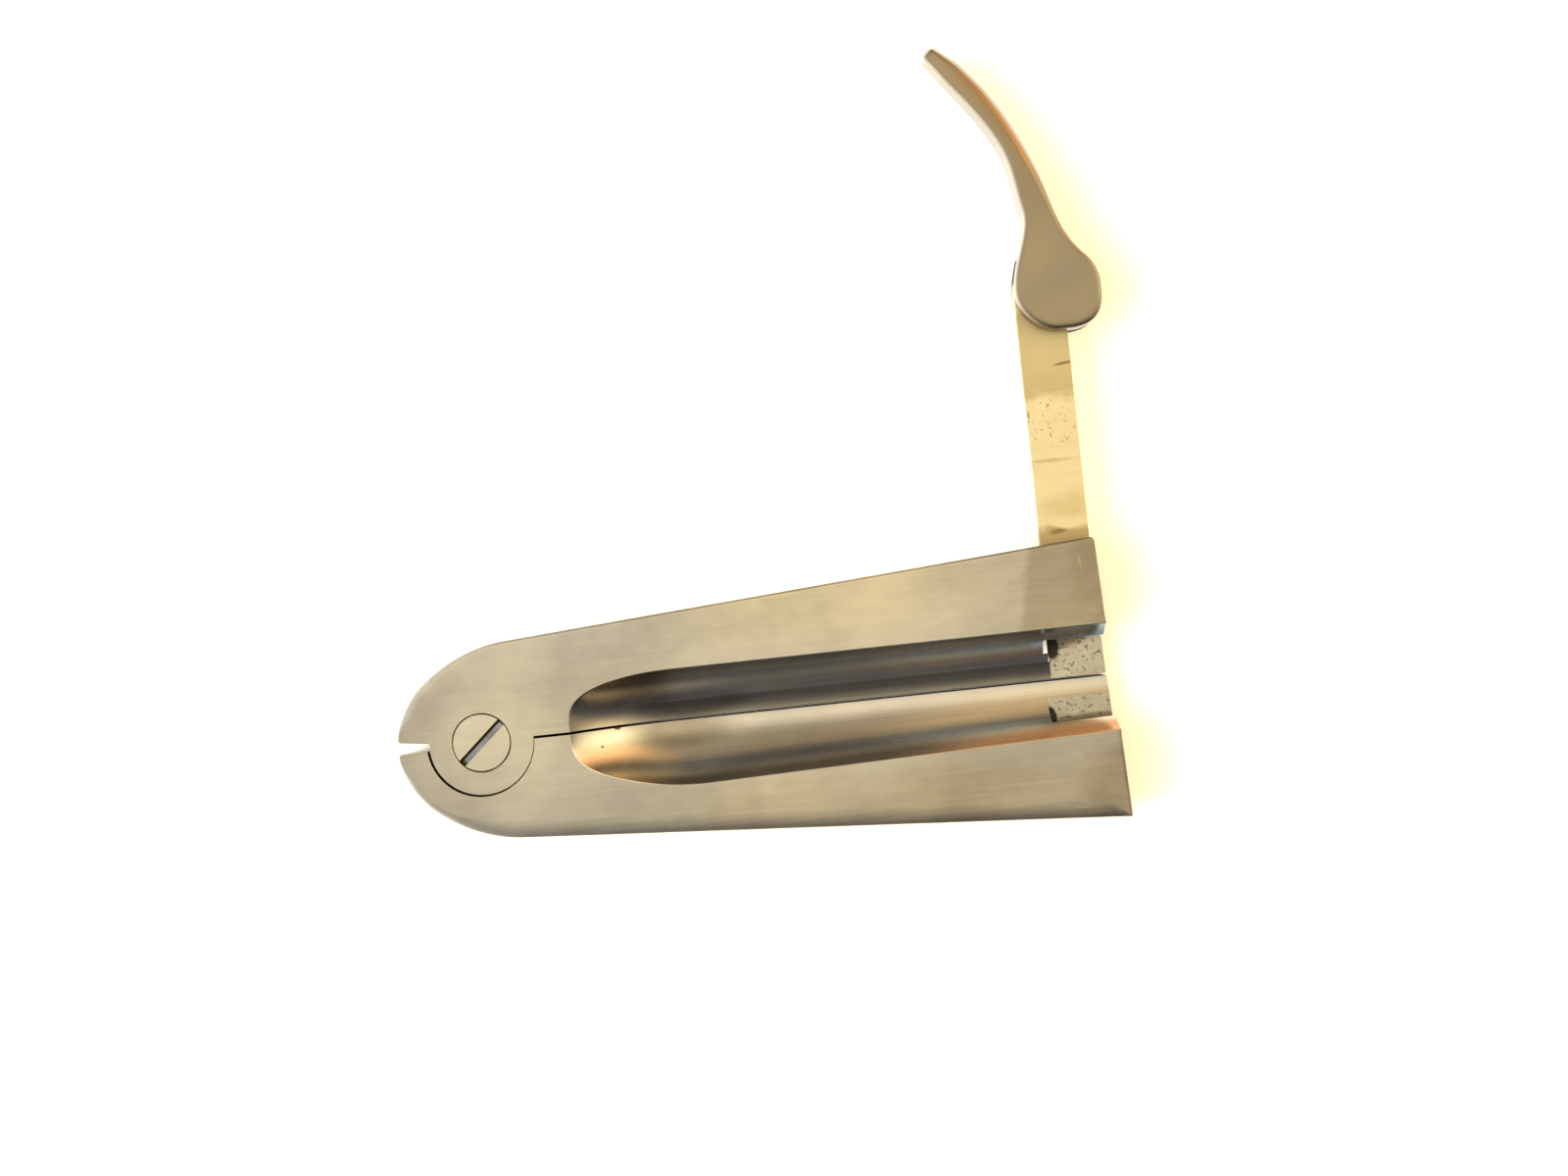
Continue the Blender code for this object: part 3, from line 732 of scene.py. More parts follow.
class Finish(Enum):
    """The finishes of the clamp's pieces."""

    JAW = SteelFinish("satin_jaw_steel", (0.66, 0.59, 0.45), (0.49, 0.436, 0.344), 0.33, Grain.LENGTHWISE,
                      grain_share=0.22, stains=JAW_STAINS_AND_PAINTED_LIGHT)
    GROOVE = SteelFinish("polished_groove_steel", (0.585, 0.535, 0.444), (0.51, 0.466, 0.378), 0.25,
                         Grain.LENGTHWISE, grain_share=0.3, grain_bump=0.04, stains=GROOVE_PAINTED_LIGHT_AND_NICKS,
                         painted_reflection=RIM_PAINTED_REFLECTION)
    # Near black: painted shade on the parting faces, which shows in the gap between the jaws.
    JOINT = SteelFinish("dull_joint_steel", (0.20, 0.18, 0.15), (0.12, 0.11, 0.09), 0.6, Grain.LENGTHWISE)
    SLOT = SteelFinish("milled_slot_steel", (0.68, 0.614, 0.467), (0.52, 0.466, 0.344), 0.42, Grain.DRAWN,
                       grain_share=0.3, grain_bump=0.2, pitting=0.8, pit_scale=2300.0, pit_range=(0.30, 0.46),
                       stains=SLOT_PAINTED_SHADE, metallic=0.85)
    # Near white: a painted glint on the land at the upper slot's inner end.
    PAINTED_GLINT_LAND = SteelFinish("bright_land_steel", (0.98, 0.97, 0.92), (0.94, 0.92, 0.86), 0.3, Grain.DRAWN,
                       metallic=0.6)
    SCREW = SteelFinish("turned_screw_steel", (0.735, 0.664, 0.50), (0.64, 0.575, 0.433), 0.33,
                        Grain.LENGTHWISE, grain_share=0.28)
    SCREW_SLOT = SteelFinish("sawn_slot_steel", (0.52, 0.525, 0.53), (0.226, 0.228, 0.222), 0.5, Grain.DRAWN,
                             grain_share=0.5, grain_bump=0.3, stains=SCREW_SLOT_PAINTED_SHADE)
    STRAP = SteelFinish("ground_strap_steel", (0.845, 0.71, 0.39), (0.75, 0.61, 0.315), 0.48, Grain.CROSSWISE,
                        grain_share=0.3, pitting=0.6, pit_scale=3300.0, pit_range=(0.31, 0.36),
                        pit_band=(24.4, 31.6), stains=STRAP_PAINTED_SHADE_AND_MARKS, metallic=0.4)
    LEVER = SteelFinish("polished_lever_steel", (0.32, 0.262, 0.172), (0.283, 0.231, 0.149), 0.27,
                        Grain.DRAWN, grain_share=0.02, grain_bump=0.002, stains=LEVER_PAINTED_REFLECTION_AND_TONE, rough_share=0.0)
    PIN = SteelFinish("pin_steel", (0.56, 0.50, 0.40), (0.46, 0.41, 0.32), 0.35, Grain.DRAWN)


@cache
def steel(finish: Finish) -> Material:
    """The material of a finish, made once."""
    return finish.value.material()


def place_piece(piece: Piece, body: str, node: str) -> None:
    """Lets a finished piece ride on its body in place of its node, and reports it."""
    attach(piece, body)
    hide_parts(node)
    LOG.info("%s: %d faces on %s", piece.name, len(piece.data.polygons), body)


@dataclass
class Jaw:
    """One jaw: a tapered plate with a lap at its hinge, a groove along its front and a strap slot at its end.

    Its shape is worked out on the upper jaw's side and then turned to its own side.
    """

    side: Side
    name: str
    length: float = 66.9
    half_width_hinge: float = 10.2
    half_width_end: float = 14.9
    heel_radius: float = 8.8
    blend_radius: float = 16.0
    end_lean: float = math.radians(2.0)
    half_gap: float = 0.14
    recess_radius: float = 5.75
    recess_shift: float = 0.0
    lap_level: float = 3.625
    slit_offset: float = 0.47
    slit_flare: float = math.radians(6.5)
    corner_round: float = 0.45
    mouth_round: float = 0.3
    edge_roll: tuple[float, float] = (0.4, 0.22)
    heel_roll: tuple[float, float] = (0.9, 0.5)
    end_round: float = 0.18
    lap_round: float = 0.05
    groove_width: float = 5.6
    groove_swell: float = 0.0
    swell_at: float = 23.0
    lip: float = 2.3
    groove_start: float = 9.3
    nose_length: float = 11.7
    nose_fullness: float = 0.3
    ramp_fullness: float = 0.9
    rim_inside: float = 0.04
    rim_outside: float = 0.09
    slot_wall: float = 60.25
    land_width: float = 0.0
    land_height: float = 0.45
    floor_sink: float = 0.0
    sink_inset: float = 0.2
    land_overlap: float = 0.05
    seat_ease: float = 0.02
    pin: tuple[float, float] | None = None

    @property
    def taper(self) -> float:
        """Angle of the outer edge to the parting line."""
        return math.atan2(self.half_width_end - self.half_width_hinge, self.length)

    def end_x(self, y: Array | float) -> Array:
        """Place of the leaning end face at a height from the parting line."""
        return self.length - self.side.value * y * math.tan(self.end_lean)

    def slit_line(self) -> tuple[Array, Array]:
        """Root of the heel slit on the lap disc, and the slit's direction outwards."""
        root = np.array((-math.sqrt(LAP_RADIUS ** 2 - self.slit_offset ** 2), self.slit_offset))
        return root, np.array((-math.cos(self.slit_flare), math.sin(self.slit_flare)))

    def slit_meets(self, radius: float, shift: float) -> Array:
        """Point where the slit's face crosses a circle, its centre shifted along -X from the hinge axis."""
        root, along = self.slit_line()
        start = root + (shift, 0.0)
        half = float(start @ along)
        run = -half + math.sqrt(half ** 2 + radius ** 2 - float(start @ start))
        return root + run * along

    def outer_path(self, start_y: float) -> tuple[Array, Array, Array]:
        """Path shared by both halves of the thickness: end face, outer edge, round heel and slit.

        The outer edge is a straight taper, then an arc that touches both it and the heel's circle.

        Args:
            start_y: height on the end face where the path starts.

        Returns:
            Plan points, how far in the front edge's round reaches at each, and how far down.
        """
        slope = math.tan(self.taper)
        lean = self.side.value * math.tan(self.end_lean)
        corner_x = (self.length - self.half_width_hinge * lean) / (1.0 + slope * lean)
        corner = np.array((corner_x, self.half_width_hinge + corner_x * slope))
        start = np.array((self.end_x(start_y), start_y))

        edge_distance = self.half_width_hinge * math.cos(self.taper)
        across = edge_distance - self.blend_radius
        along = math.sqrt((self.blend_radius - self.heel_radius) ** 2 - across ** 2)
        centre = np.array((along * math.cos(self.taper) - across * math.sin(self.taper),
                           along * math.sin(self.taper) + across * math.cos(self.taper)))
        heel_angle = math.atan2(-centre[1], -centre[0])
        blend = arc(self.blend_radius, self.taper + math.pi / 2.0, heel_angle, BLEND_POINTS, centre)

        mouth = self.slit_meets(self.heel_radius, 0.0)
        slit_end = self.slit_meets(self.recess_radius, self.recess_shift)
        mouth_angle = math.atan2(mouth[1], mouth[0])
        heel = arc(self.heel_radius, heel_angle, mouth_angle - MOUTH_ROOM, HEEL_POINTS)[1:]
        lip = rounded_corner(heel[-1], mouth, slit_end, self.mouth_round, MOUTH_POINTS)
        end_corner = rounded_corner(start, corner, blend[0], self.corner_round, CORNER_POINTS)

        pieces = [span(start, end_corner[0], END_POINTS)[:-1], end_corner[:-1],
                  span(end_corner[-1], blend[0], EDGE_POINTS)[:-1], blend, heel, lip,
                  span(lip[-1], slit_end, SLIT_POINTS)[1:]]
        path = np.concatenate(pieces)
        run = run_length(path)
        ends = run[np.cumsum([len(piece) for piece in pieces]) - 1]
        turn_end, heel_start, heel_end = ends[1], ends[3], ends[4]
        first, turn_ease, heel_ease, mouth_ease, last = ROLL_EASES
        keys = (0.0, first, turn_end, turn_end + turn_ease, heel_start - heel_ease, heel_start,
                heel_end - mouth_ease, heel_end - last)
        end = self.end_round
        inset, drop = ((0.0, end, end, side, side, back, back, self.lap_round)
                       for side, back in zip(self.edge_roll, self.heel_roll))
        return path, np.interp(run, keys, inset), np.interp(run, keys, drop)

    def hinge_path(self, disc: bool) -> Array:
        """Path on from the slit to the parting face, round the lap disc or the recess for the other one.

        Args:
            disc: whether this half of the thickness has the disc.

        Returns:
            Plan points, without the slit's last one.
        """
        if disc:
            start = math.pi - math.asin(self.slit_offset / LAP_RADIUS)
            end = 2.0 * math.pi + math.asin(self.half_gap / LAP_RADIUS)
            return arc(LAP_RADIUS, start, end, LAP_POINTS)
        centre = (-self.recess_shift, 0.0)
        slit_end = self.slit_meets(self.recess_radius, self.recess_shift) + (self.recess_shift, 0.0)
        start = math.atan2(slit_end[1], slit_end[0])
        end = math.asin(self.half_gap / self.recess_radius)
        return arc(self.recess_radius, start, end, LAP_POINTS, centre)[1:]

    def groove_share(self, x: Array) -> Array:
        """How far the groove is open: 1 - u^2 over its nose, where u runs from 1 to 0, and then 1."""
        u = np.clip((self.groove_start + self.nose_length - x) / self.nose_length, 0.0, 1.0)
        return np.maximum(1.0 - u * u, 1e-9)

    def groove_half(self, x: Array) -> Array:
        """Half the groove's width: a power of its share times the full half width, and a swell."""
        swell = np.where(x < self.swell_at,
                         ease((x - self.groove_start) / (self.swell_at - self.groove_start)),
                         (self.length - x) / (self.length - self.swell_at))
        return self.groove_width * self.groove_share(x) ** self.nose_fullness + self.groove_swell * swell

    def groove_drop(self, x: Array) -> Array:
        """Depth of the groove's bottom, which runs out in a nearly round ramp at the nose."""
        return (THICKNESS - self.lip) * self.groove_share(x) ** self.ramp_fullness

    def groove_floor(self, x: Array, y: Array) -> Array:
        """Level of the groove: a circle through both rims and the bottom."""
        half = self.groove_half(x)
        drop = self.groove_drop(x)
        radius = (half ** 2 + drop ** 2) / (2.0 * drop)
        return THICKNESS - drop + radius - np.sqrt(np.maximum(radius ** 2 - y ** 2, 0.0))

    def groove(self) -> tuple[Array, Array]:
        """Groove's surface and its rim.

        Rows stand across the groove; points on a row are spaced evenly round its circle. The rim is a
        quadratic curve from just inside the edge, towards the sharp edge, to just outside it on the front.

        Returns:
            Grid of the surface from the parting face to the front, and the rim's plan path on the front.
        """
        full = self.groove_start + self.nose_length
        turn = np.linspace(math.pi / 2.0, 0.0, NOSE_ROWS)
        x = np.concatenate((full - self.nose_length * np.sin(turn),
                            np.linspace(full, self.slot_wall, BED_ROWS)[1:],
                            np.linspace(self.slot_wall, self.length, MOUTH_ROWS)[1:]))
        late = np.clip((x - self.slot_wall) / (self.length - self.slot_wall), 0.0, 1.0)
        half = np.maximum(self.groove_half(x), self.half_gap)
        lean = self.side.value * math.tan(self.end_lean)
        edge = np.column_stack((x - late * half * lean, half))

        out = -inward_normals(edge)
        out = out / np.linalg.norm(out, axis=1, keepdims=True)
        out = np.where(out[:, 1:] < 0.0, -out, out)
        out[0] = (-1.0, 0.0)
        out[-1] = (-lean, 1.0)
        inner = edge - out * self.rim_inside
        outer = edge + out * self.rim_outside
        inner[0, 1] = outer[0, 1] = self.half_gap

        drop = self.groove_drop(inner[:, 0])
        wide = self.groove_half(inner[:, 0])
        radius = ((wide ** 2 + drop ** 2) / (2.0 * drop))[:, None]
        swing = np.linspace(0.0, 1.0, GROOVE_POINTS)[None, :]
        first = np.arcsin(np.clip(self.half_gap / radius, 0.0, 1.0))
        last = np.arcsin(np.clip(inner[:, 1:] / radius, 0.0, 1.0))
        y = radius * np.sin(first + (last - first) * swing)
        y[:, 0] = self.half_gap
        y[:, -1] = inner[:, 1]
        along = inner[:, :1] + late[:, None] * lean * (inner[:, 1:] - y)
        surface = np.stack((along, y, self.groove_floor(along, y)), axis=2)

        corner = level(THICKNESS)(edge)[:, None]
        start = surface[:, -1:]
        end = level(THICKNESS)(outer)[:, None]
        t = np.linspace(0.0, 1.0, RIM_POINTS)[1:][None, :, None]
        rim = (1.0 - t) ** 2 * start + 2.0 * t * (1.0 - t) * corner + t * t * end
        return np.concatenate((surface, rim), axis=1), outer

    def add_bore(self, work: Patchwork) -> tuple[list[Array], list[Array]]:
        """Adds the screw's hole: a seat for the head in the upper jaw, and a blind hole in the lower one.

        Args:
            work: the jaw's patches.

        Returns:
            The holes that it leaves in the front face and in the lap face.
        """
        shank, head = SHANK_RADIUS + FIT, HEAD_RADIUS + FIT
        lap_holes = [ring(shank, BORE_POINTS)]
        if self.side is Side.LOWER:
            work.add_turned(((shank, self.lap_level), (shank, SCREW_FLOOR)), BORE_POINTS)
            work.add_fill(lap_holes, level(SCREW_FLOOR))
            return [], lap_holes
        seat = THICKNESS - HEAD_HEIGHT - SEAT
        work.add_turned(((head + self.lap_round, THICKNESS),
                         (head + self.seat_ease, THICKNESS - self.seat_ease),
                         (head, THICKNESS - self.lap_round), (head, seat)), HEAD_POINTS)
        work.add_fill([ring(head, HEAD_POINTS), *lap_holes], level(seat))
        work.add_turned(((shank, seat), (shank, self.lap_level)), BORE_POINTS)
        return [ring(head + self.lap_round, HEAD_POINTS)], lap_holes

    def add_ends(self, work: Patchwork, groove: Array, laps: tuple[float, float], corner: float) -> None:
        """Closes the parting face and the end face, flat fills below the groove's edges.

        Args:
            work: the jaw's patches.
            groove: grid of the groove and its rim.
            laps: where the front and back laps meet the parting face.
            corner: height on the end face where the outer wall starts.
        """
        front, back = laps
        end = float(self.end_x(self.half_gap))
        nose = groove[0][::-1][:RIM_POINTS, [0, 2]]
        bottom = groove[1:, 0][:, [0, 2]]
        parting = np.concatenate(([(front, self.lap_level), (front, THICKNESS)], nose, bottom,
                                  [(end, 0.0), (back, 0.0), (back, self.lap_level)]))
        # coat 2: the parting face takes the dark painted shade
        work.add_fill([parting], lambda p: np.insert(p, 1, self.half_gap, axis=1), 2)
        section = groove[-1][:, [1, 2]]
        end_face = np.concatenate((section, [(corner, self.lap_level), (corner, 0.0), (self.half_gap, 0.0)]))
        work.add_fill([end_face], lambda p: np.column_stack((self.end_x(p[:, 0]), p)))

    def cutters(self) -> list[Piece]:
        """Shapes that are cut away: the strap slot, its land and sunk floor, and the pin's hole.

        Returns:
            Closed objects.
        """
        reach = self.half_width_end + 2.0 * OVERCUT
        low, high = MID_LEVEL - SLOT_HEIGHT / 2.0, MID_LEVEL + SLOT_HEIGHT / 2.0
        start, end = self.slot_wall + self.land_width, self.length + reach
        cuts = [("slot_cut", Finish.SLOT, (start, -reach, low), (end, reach, high))]
        # the land's walls carry the near-white painted glint
        if self.land_width:
            cuts.append(("land_cut", Finish.PAINTED_GLINT_LAND, (self.slot_wall, -reach, low + self.land_height),
                         (start + self.land_overlap, reach, high)))
        if self.floor_sink:
            cuts.append(("sink_cut", Finish.SLOT, (start + self.sink_inset, -reach, low - self.floor_sink),
                         (end, self.groove_width, high)))
        made = [box_patches(first, last).make(name, steel(finish))
                for name, finish, first, last in cuts]
        if self.pin is not None:
            made.append(pin_hole("pin_cut", THICKNESS - PIN_COVER, self.pin, steel(Finish.JAW)))
        return made

    def build(self) -> Piece:
        """Sews the jaw's walls, groove and flat faces, and cuts its strap slot.

        Returns:
            The finished piece.
        """
        groove, rim = self.groove()
        outer, inset, drop = self.outer_path(rim[-1, 1])
        front_lap, back_lap = (self.hinge_path(self.side is side) for side in Side)
        work = Patchwork()

        rings = []
        for lap, low, high, rolls in ((front_lap, self.lap_level, THICKNESS, (inset, drop)),
                                      (back_lap, 0.0, self.lap_level, (drop, drop))):
            path = np.concatenate((outer, lap))
            run = run_length(path)
            fade = np.clip((run[-1] - run) / PARTING_FADE, 0.0, 1.0)
            soft = [np.concatenate((roll, np.full(len(lap), self.lap_round))) * fade for roll in rolls]
            wall = rounded_wall(path, *soft, low, high, lap is front_lap)
            work.add_grid(wall)
            rings.append(wall[-1, :, :2])

        front_holes, lap_holes = self.add_bore(work)
        work.add_fill([np.concatenate((rings[0], rim[:-1])), *front_holes], level(THICKNESS))
        parting_end = (float(self.end_x(self.half_gap)), self.half_gap)
        work.add_fill([np.concatenate((rings[1], [parting_end]))], level(0.0))
        lap = np.concatenate((outer[-1:], front_lap, back_lap[::-1]))
        work.add_fill([lap, *lap_holes], level(self.lap_level))
        work.add_grid(groove, coat=1)
        self.add_ends(work, groove, (front_lap[-1, 0], back_lap[-1, 0]), outer[0, 1])

        coats = [steel(finish) for finish in (Finish.JAW, Finish.GROOVE, Finish.JOINT)]
        piece = work.make(self.name, *coats, mirror=self.side.value)
        carve(piece, self.cutters())
        return piece


@dataclass
class HingeScrew:
    """Slotted screw whose head lies flush in the upper jaw's disc."""

    name: str = "screw"
    chamfer: float = 0.06
    chamfer_ease: float = 0.3
    point: float = 0.3
    slot_width: float = 0.84
    slot_depth: float = 0.65
    slot_turn: float = math.radians(41.5)

    def build(self) -> Piece:
        """Turns the head and shank and cuts the slot.

        Returns:
            The finished piece.
        """
        head = THICKNESS - HEAD_HEIGHT
        end = SCREW_FLOOR + SEAT
        work = Patchwork()
        middle = self.chamfer_ease * self.chamfer
        work.add_turned(((0.0, end), (SHANK_RADIUS - self.point, end), (SHANK_RADIUS, end + self.point),
                         (SHANK_RADIUS, head), (HEAD_RADIUS, head), (HEAD_RADIUS, THICKNESS - self.chamfer),
                         (HEAD_RADIUS - middle, THICKNESS - middle),
                         (HEAD_RADIUS - self.chamfer, THICKNESS), (0.0, THICKNESS)), HEAD_POINTS)
        piece = work.make(self.name, steel(Finish.SCREW))
        half = (HEAD_RADIUS + OVERCUT, self.slot_width / 2.0)
        slot = box_patches((-half[0], -half[1], THICKNESS - self.slot_depth), (*half, THICKNESS + OVERCUT),
                           self.slot_turn)
        carve(piece, [slot.make("screw_slot_cut", steel(Finish.SCREW_SLOT))])
        return piece


@dataclass
class Pin:
    """Plain round pin with a small chamfer at both ends."""

    name: str
    centre: tuple[float, float]
    low: float
    high: float
    chamfer: float = 0.08

    def build(self) -> Piece:
        """Turns the pin about its own axis."""
        work = Patchwork()
        work.add_turned(((0.0, self.low), (PIN_RADIUS - self.chamfer, self.low),
                         (PIN_RADIUS, self.low + self.chamfer), (PIN_RADIUS, self.high - self.chamfer),
                         (PIN_RADIUS - self.chamfer, self.high), (0.0, self.high)), BORE_POINTS, self.centre)
        return work.make(self.name, steel(Finish.PIN))


@dataclass
class Strap:
    """Flat strap with round ends and an eye at each end."""

    near: tuple[float, float]
    far: tuple[float, float]
    name: str = "strap_plate"
    width: float = 5.3
    thickness: float = 1.2
    edge_round: float = 0.05

    def build(self) -> Piece:
        """Carries the strap's stadium outline up a profile rounded at both edges.

        Returns:
            The finished piece.
        """
        half = self.width / 2.0
        low, high = MID_LEVEL - self.thickness / 2.0, MID_LEVEL + self.thickness / 2.0
        left, right = self.near[0] - half, self.near[0] + half
        middle = (left, (self.near[1] + self.far[1]) / 2.0)
        plan = np.concatenate((span(middle, (left, self.near[1]), STRAP_SIDE_POINTS)[:-1],
                               arc(half, math.pi, 2.0 * math.pi, STRAP_END_POINTS, self.near),
                               span((right, self.near[1]), (right, self.far[1]), STRAP_SIDE_POINTS)[1:-1],
                               arc(half, 0.0, math.pi, STRAP_END_POINTS, self.far),
                               span((left, self.far[1]), middle, STRAP_SIDE_POINTS)[1:]))
        soft = np.full(len(plan), self.edge_round)
        upper = rounded_wall(plan, soft, soft, MID_LEVEL, high, True)
        lower = rounded_wall(plan, soft, soft, low, MID_LEVEL, False)
        eyes = [ring(PIN_RADIUS + FIT, BORE_POINTS, centre) for centre in (self.near, self.far)]
        work = Patchwork()
        work.add_grid(upper)
        work.add_grid(lower)
        for wall, height in ((upper, high), (lower, low)):
            work.add_fill([wall[-1, :-1, :2], *eyes], level(height))
        for eye in eyes:
            work.add_ring(np.stack((level(low)(eye), level(high)(eye))))
        return work.make(self.name, steel(Finish.STRAP))


@dataclass
class CamLever:
    """Forked cam lever: a flat round cam that runs into a bent round handle with a thumb pad."""

    pivot: tuple[float, float]
    name: str = "cam_lever"
    thickness: float = 5.5
    cam_radius: float = 4.54
    cam_offset: float = 1.9
    cam_angle: float = math.radians(-4.0)
    fork_end: float = 3.45
    spine_radius: float = 34.2
    spine_offset: float = 1.35
    spine_rise: float = 1.65
    neck_height: float = 8.8
    handle_length: float = 20.68
    left_halves: tuple[tuple[float, float], ...] = ((0.0, 1.65), (0.36, 0.95), (0.78, 1.22), (1.0, 0.85))
    right_halves: tuple[tuple[float, float], ...] = ((0.0, 1.6), (0.6, 1.6), (0.8, 1.5), (1.0, 1.05))
    pad_thickness: float = 3.6
    tip_round: float = 0.7
    cam_power: float = 16.0
    left_power: float = 9.0
    right_power: float = 1.85
    cam_bulge: float = 0.55
    power_rate: float = 1.6
    flank_angle: float = math.radians(46.0)
    left_pull: tuple[float, float] = (1.1, 0.9)
    right_pull: tuple[float, float] = (1.0, 1.0)
    cam_stations: int = 48
    flank_stations: int = 36
    handle_stations: int = 72
    tip_stations: int = 14
    ring_points: int = 61
    seam_angle: float = 0.012
    tip_turn: float = 0.985 * math.pi / 2.0

    def flank(self, start: Array, start_angle: float, end: Array, end_angle: float,
              pull: tuple[float, float]) -> Array:
        """Cubic Hermite curve that keeps its heading at each end for a pull times the chord.

        Args:
            start: first point.
            start_angle: heading there.
            end: last point.
            end_angle: heading there.
            pull: how strongly each heading holds.

        Returns:
            Points after the first one.
        """
        chord = float(np.linalg.norm(end - start))
        t = np.linspace(0.0, 1.0, self.flank_stations + 1)[1:, None]
        leave = chord * pull[0] * np.array((math.cos(start_angle), math.sin(start_angle)))
        arrive = chord * pull[1] * np.array((math.cos(end_angle), math.sin(end_angle)))
        along = ease(t)
        return (1.0 - along) * start + along * end + t * (1.0 - t) ** 2 * leave - t ** 2 * (1.0 - t) * arrive

    def half_width(self, share: Array, halves: tuple[tuple[float, float], ...]) -> Array:
        """One side's half width at a share of the handle's length, eased between neck, waist, pad and tip."""
        half = np.full(share.shape, halves[-1][1])
        for (start, before), (end, after) in reversed(list(zip(halves, halves[1:]))):
            here = before + (after - before) * ease((share - start) / (end - start))
            half = np.where(share <= end, here, half)
        return half

    def rails(self) -> tuple[Array, Array]:
        """Left and right edges in plan about the pivot: cam arcs, flanks, the handle's bend and its tip.

        The right arc bulges by sin(2a)^2 of the cam's bulge, at the angle a up from the cam's bottom.

        Returns:
            Two arrays of the same count, from the cam's bottom to the tip.
        """
        cam = self.cam_offset * np.array((math.cos(self.cam_angle), math.sin(self.cam_angle)))
        bottom = 1.5 * math.pi
        left = arc(self.cam_radius, bottom - self.seam_angle, math.pi, self.cam_stations + 1, cam)
        turn = np.linspace(bottom + self.seam_angle, 2.0 * math.pi + self.flank_angle, self.cam_stations + 1)
        bulge = self.cam_bulge * np.sin(2.0 * np.clip(turn - bottom, 0.0, math.pi / 2.0)) ** 2
        right = arc(self.cam_radius + bulge, turn[0], turn[-1], self.cam_stations + 1, cam)

        bend = np.array((self.spine_offset - self.spine_radius, self.spine_rise))
        neck = math.asin((self.neck_height - self.spine_rise) / self.spine_radius)
        heading = neck + math.pi / 2.0
        facing = np.array((math.cos(neck), math.sin(neck)))
        left_neck = bend + facing * (self.spine_radius - self.left_halves[0][1])
        right_neck = bend + facing * (self.spine_radius + self.right_halves[0][1])
        left_flank = self.flank(left[-1], math.pi / 2.0, left_neck, heading, self.left_pull)
        right_flank = self.flank(right[-1], self.flank_angle + math.pi / 2.0, right_neck, heading,
                                 self.right_pull)

        straight = self.handle_length - self.tip_round
        share = np.linspace(0.0, straight / self.handle_length, self.handle_stations + 1)[1:]
        turn = np.linspace(0.0, self.tip_turn, self.tip_stations + 1)[1:]
        tip = (straight + self.tip_round * np.sin(turn)) / self.handle_length
        left_half, right_half = (
            np.concatenate((self.half_width(share, halves), halves[-1][1] * np.cos(turn)))
            for halves in (self.left_halves, self.right_halves))
        angle = neck + np.concatenate((share, tip)) * self.handle_length / self.spine_radius
        ray = np.column_stack((np.cos(angle), np.sin(angle)))
        inner = bend + ray * (self.spine_radius - left_half)[:, None]
        outer = bend + ray * (self.spine_radius + right_half)[:, None]
        return np.concatenate((left, left_flank, inner)), np.concatenate((right, right_flank, outer))

    def surface(self) -> Array:
        """Rounded shell between the outline and a spine that starts at the cam's centre.

        At turn u, from straight up to straight down, a point stands 1 - cos(u)^(2/n) of the way in from the
        outline to the spine, at sin(u)^(2/n) of the half thickness. The power n falls from the cam's, which
        gives a flat face with a small round edge, to the handle's, squarer on its left than on its right.

        Returns:
            Grid of turns and points round the outline.
        """
        left, right = self.rails()
        station = np.arange(len(left))
        straight_end = self.cam_stations + self.flank_stations + self.handle_stations
        share = (station - self.cam_stations) / (straight_end - self.cam_stations)
        high = (self.thickness + (self.pad_thickness - self.thickness) * ease(share)) / 2.0
        turn = np.clip((station - straight_end) / self.tip_stations, 0.0, 1.0) * self.tip_turn
        high = high * np.cos(turn)
        cam = self.cam_offset * np.array((math.cos(self.cam_angle), math.sin(self.cam_angle)))
        leave = ease((station - self.cam_stations) / self.flank_stations)[:, None]
        spine = cam + ((left + right) / 2.0 - cam) * leave
        fall = ease(share * self.power_rate)
        left_side = self.cam_power * (self.left_power / self.cam_power) ** fall
        right_side = self.cam_power * (self.right_power / self.cam_power) ** fall

        outline = np.concatenate((left, right[::-1]))
        inside = np.concatenate((spine, spine[::-1]))
        half = np.concatenate((high, high[::-1]))
        bend = 2.0 / np.concatenate((left_side, right_side[::-1]))
        u = np.linspace(math.pi / 2.0, -math.pi / 2.0, self.ring_points)[:, None]
        inset = 1.0 - np.maximum(np.cos(u), 0.0) ** bend
        inset[[0, -1]] = 1.0
        rise = np.sign(np.sin(u)) * np.abs(np.sin(u)) ** bend
        plan = outline + (inside - outline) * inset[:, :, None] + np.array(self.pivot)
        return np.concatenate((plan, (MID_LEVEL + half * rise)[:, :, None]), axis=2)

    def build(self) -> Piece:
        """Lofts the lever and cuts its fork and pin hole.

        Returns:
            The finished piece.
        """
        work = Patchwork()
        work.add_ring(self.surface())
        piece = work.make(self.name, steel(Finish.LEVER))
        x, y = self.pivot
        reach = self.cam_offset + self.cam_radius + OVERCUT
        fork = box_patches((x - reach, y - reach, MID_LEVEL - SLOT_HEIGHT / 2.0),
                           (x + reach, y + self.fork_end, MID_LEVEL + SLOT_HEIGHT / 2.0))
        top = MID_LEVEL + self.thickness / 2.0 - PIN_COVER
        finish = steel(Finish.LEVER)
        carve(piece, [fork.make("fork_cut", finish), pin_hole("lever_pin_cut", top, self.pivot, finish)])
        return piece


@dataclass(frozen=True)
class Glow:
    """A soft patch of light in the room: its direction, its width along each axis and its colour."""

    way: tuple[float, float, float]
    width: tuple[float, float, float]
    shine: Colour


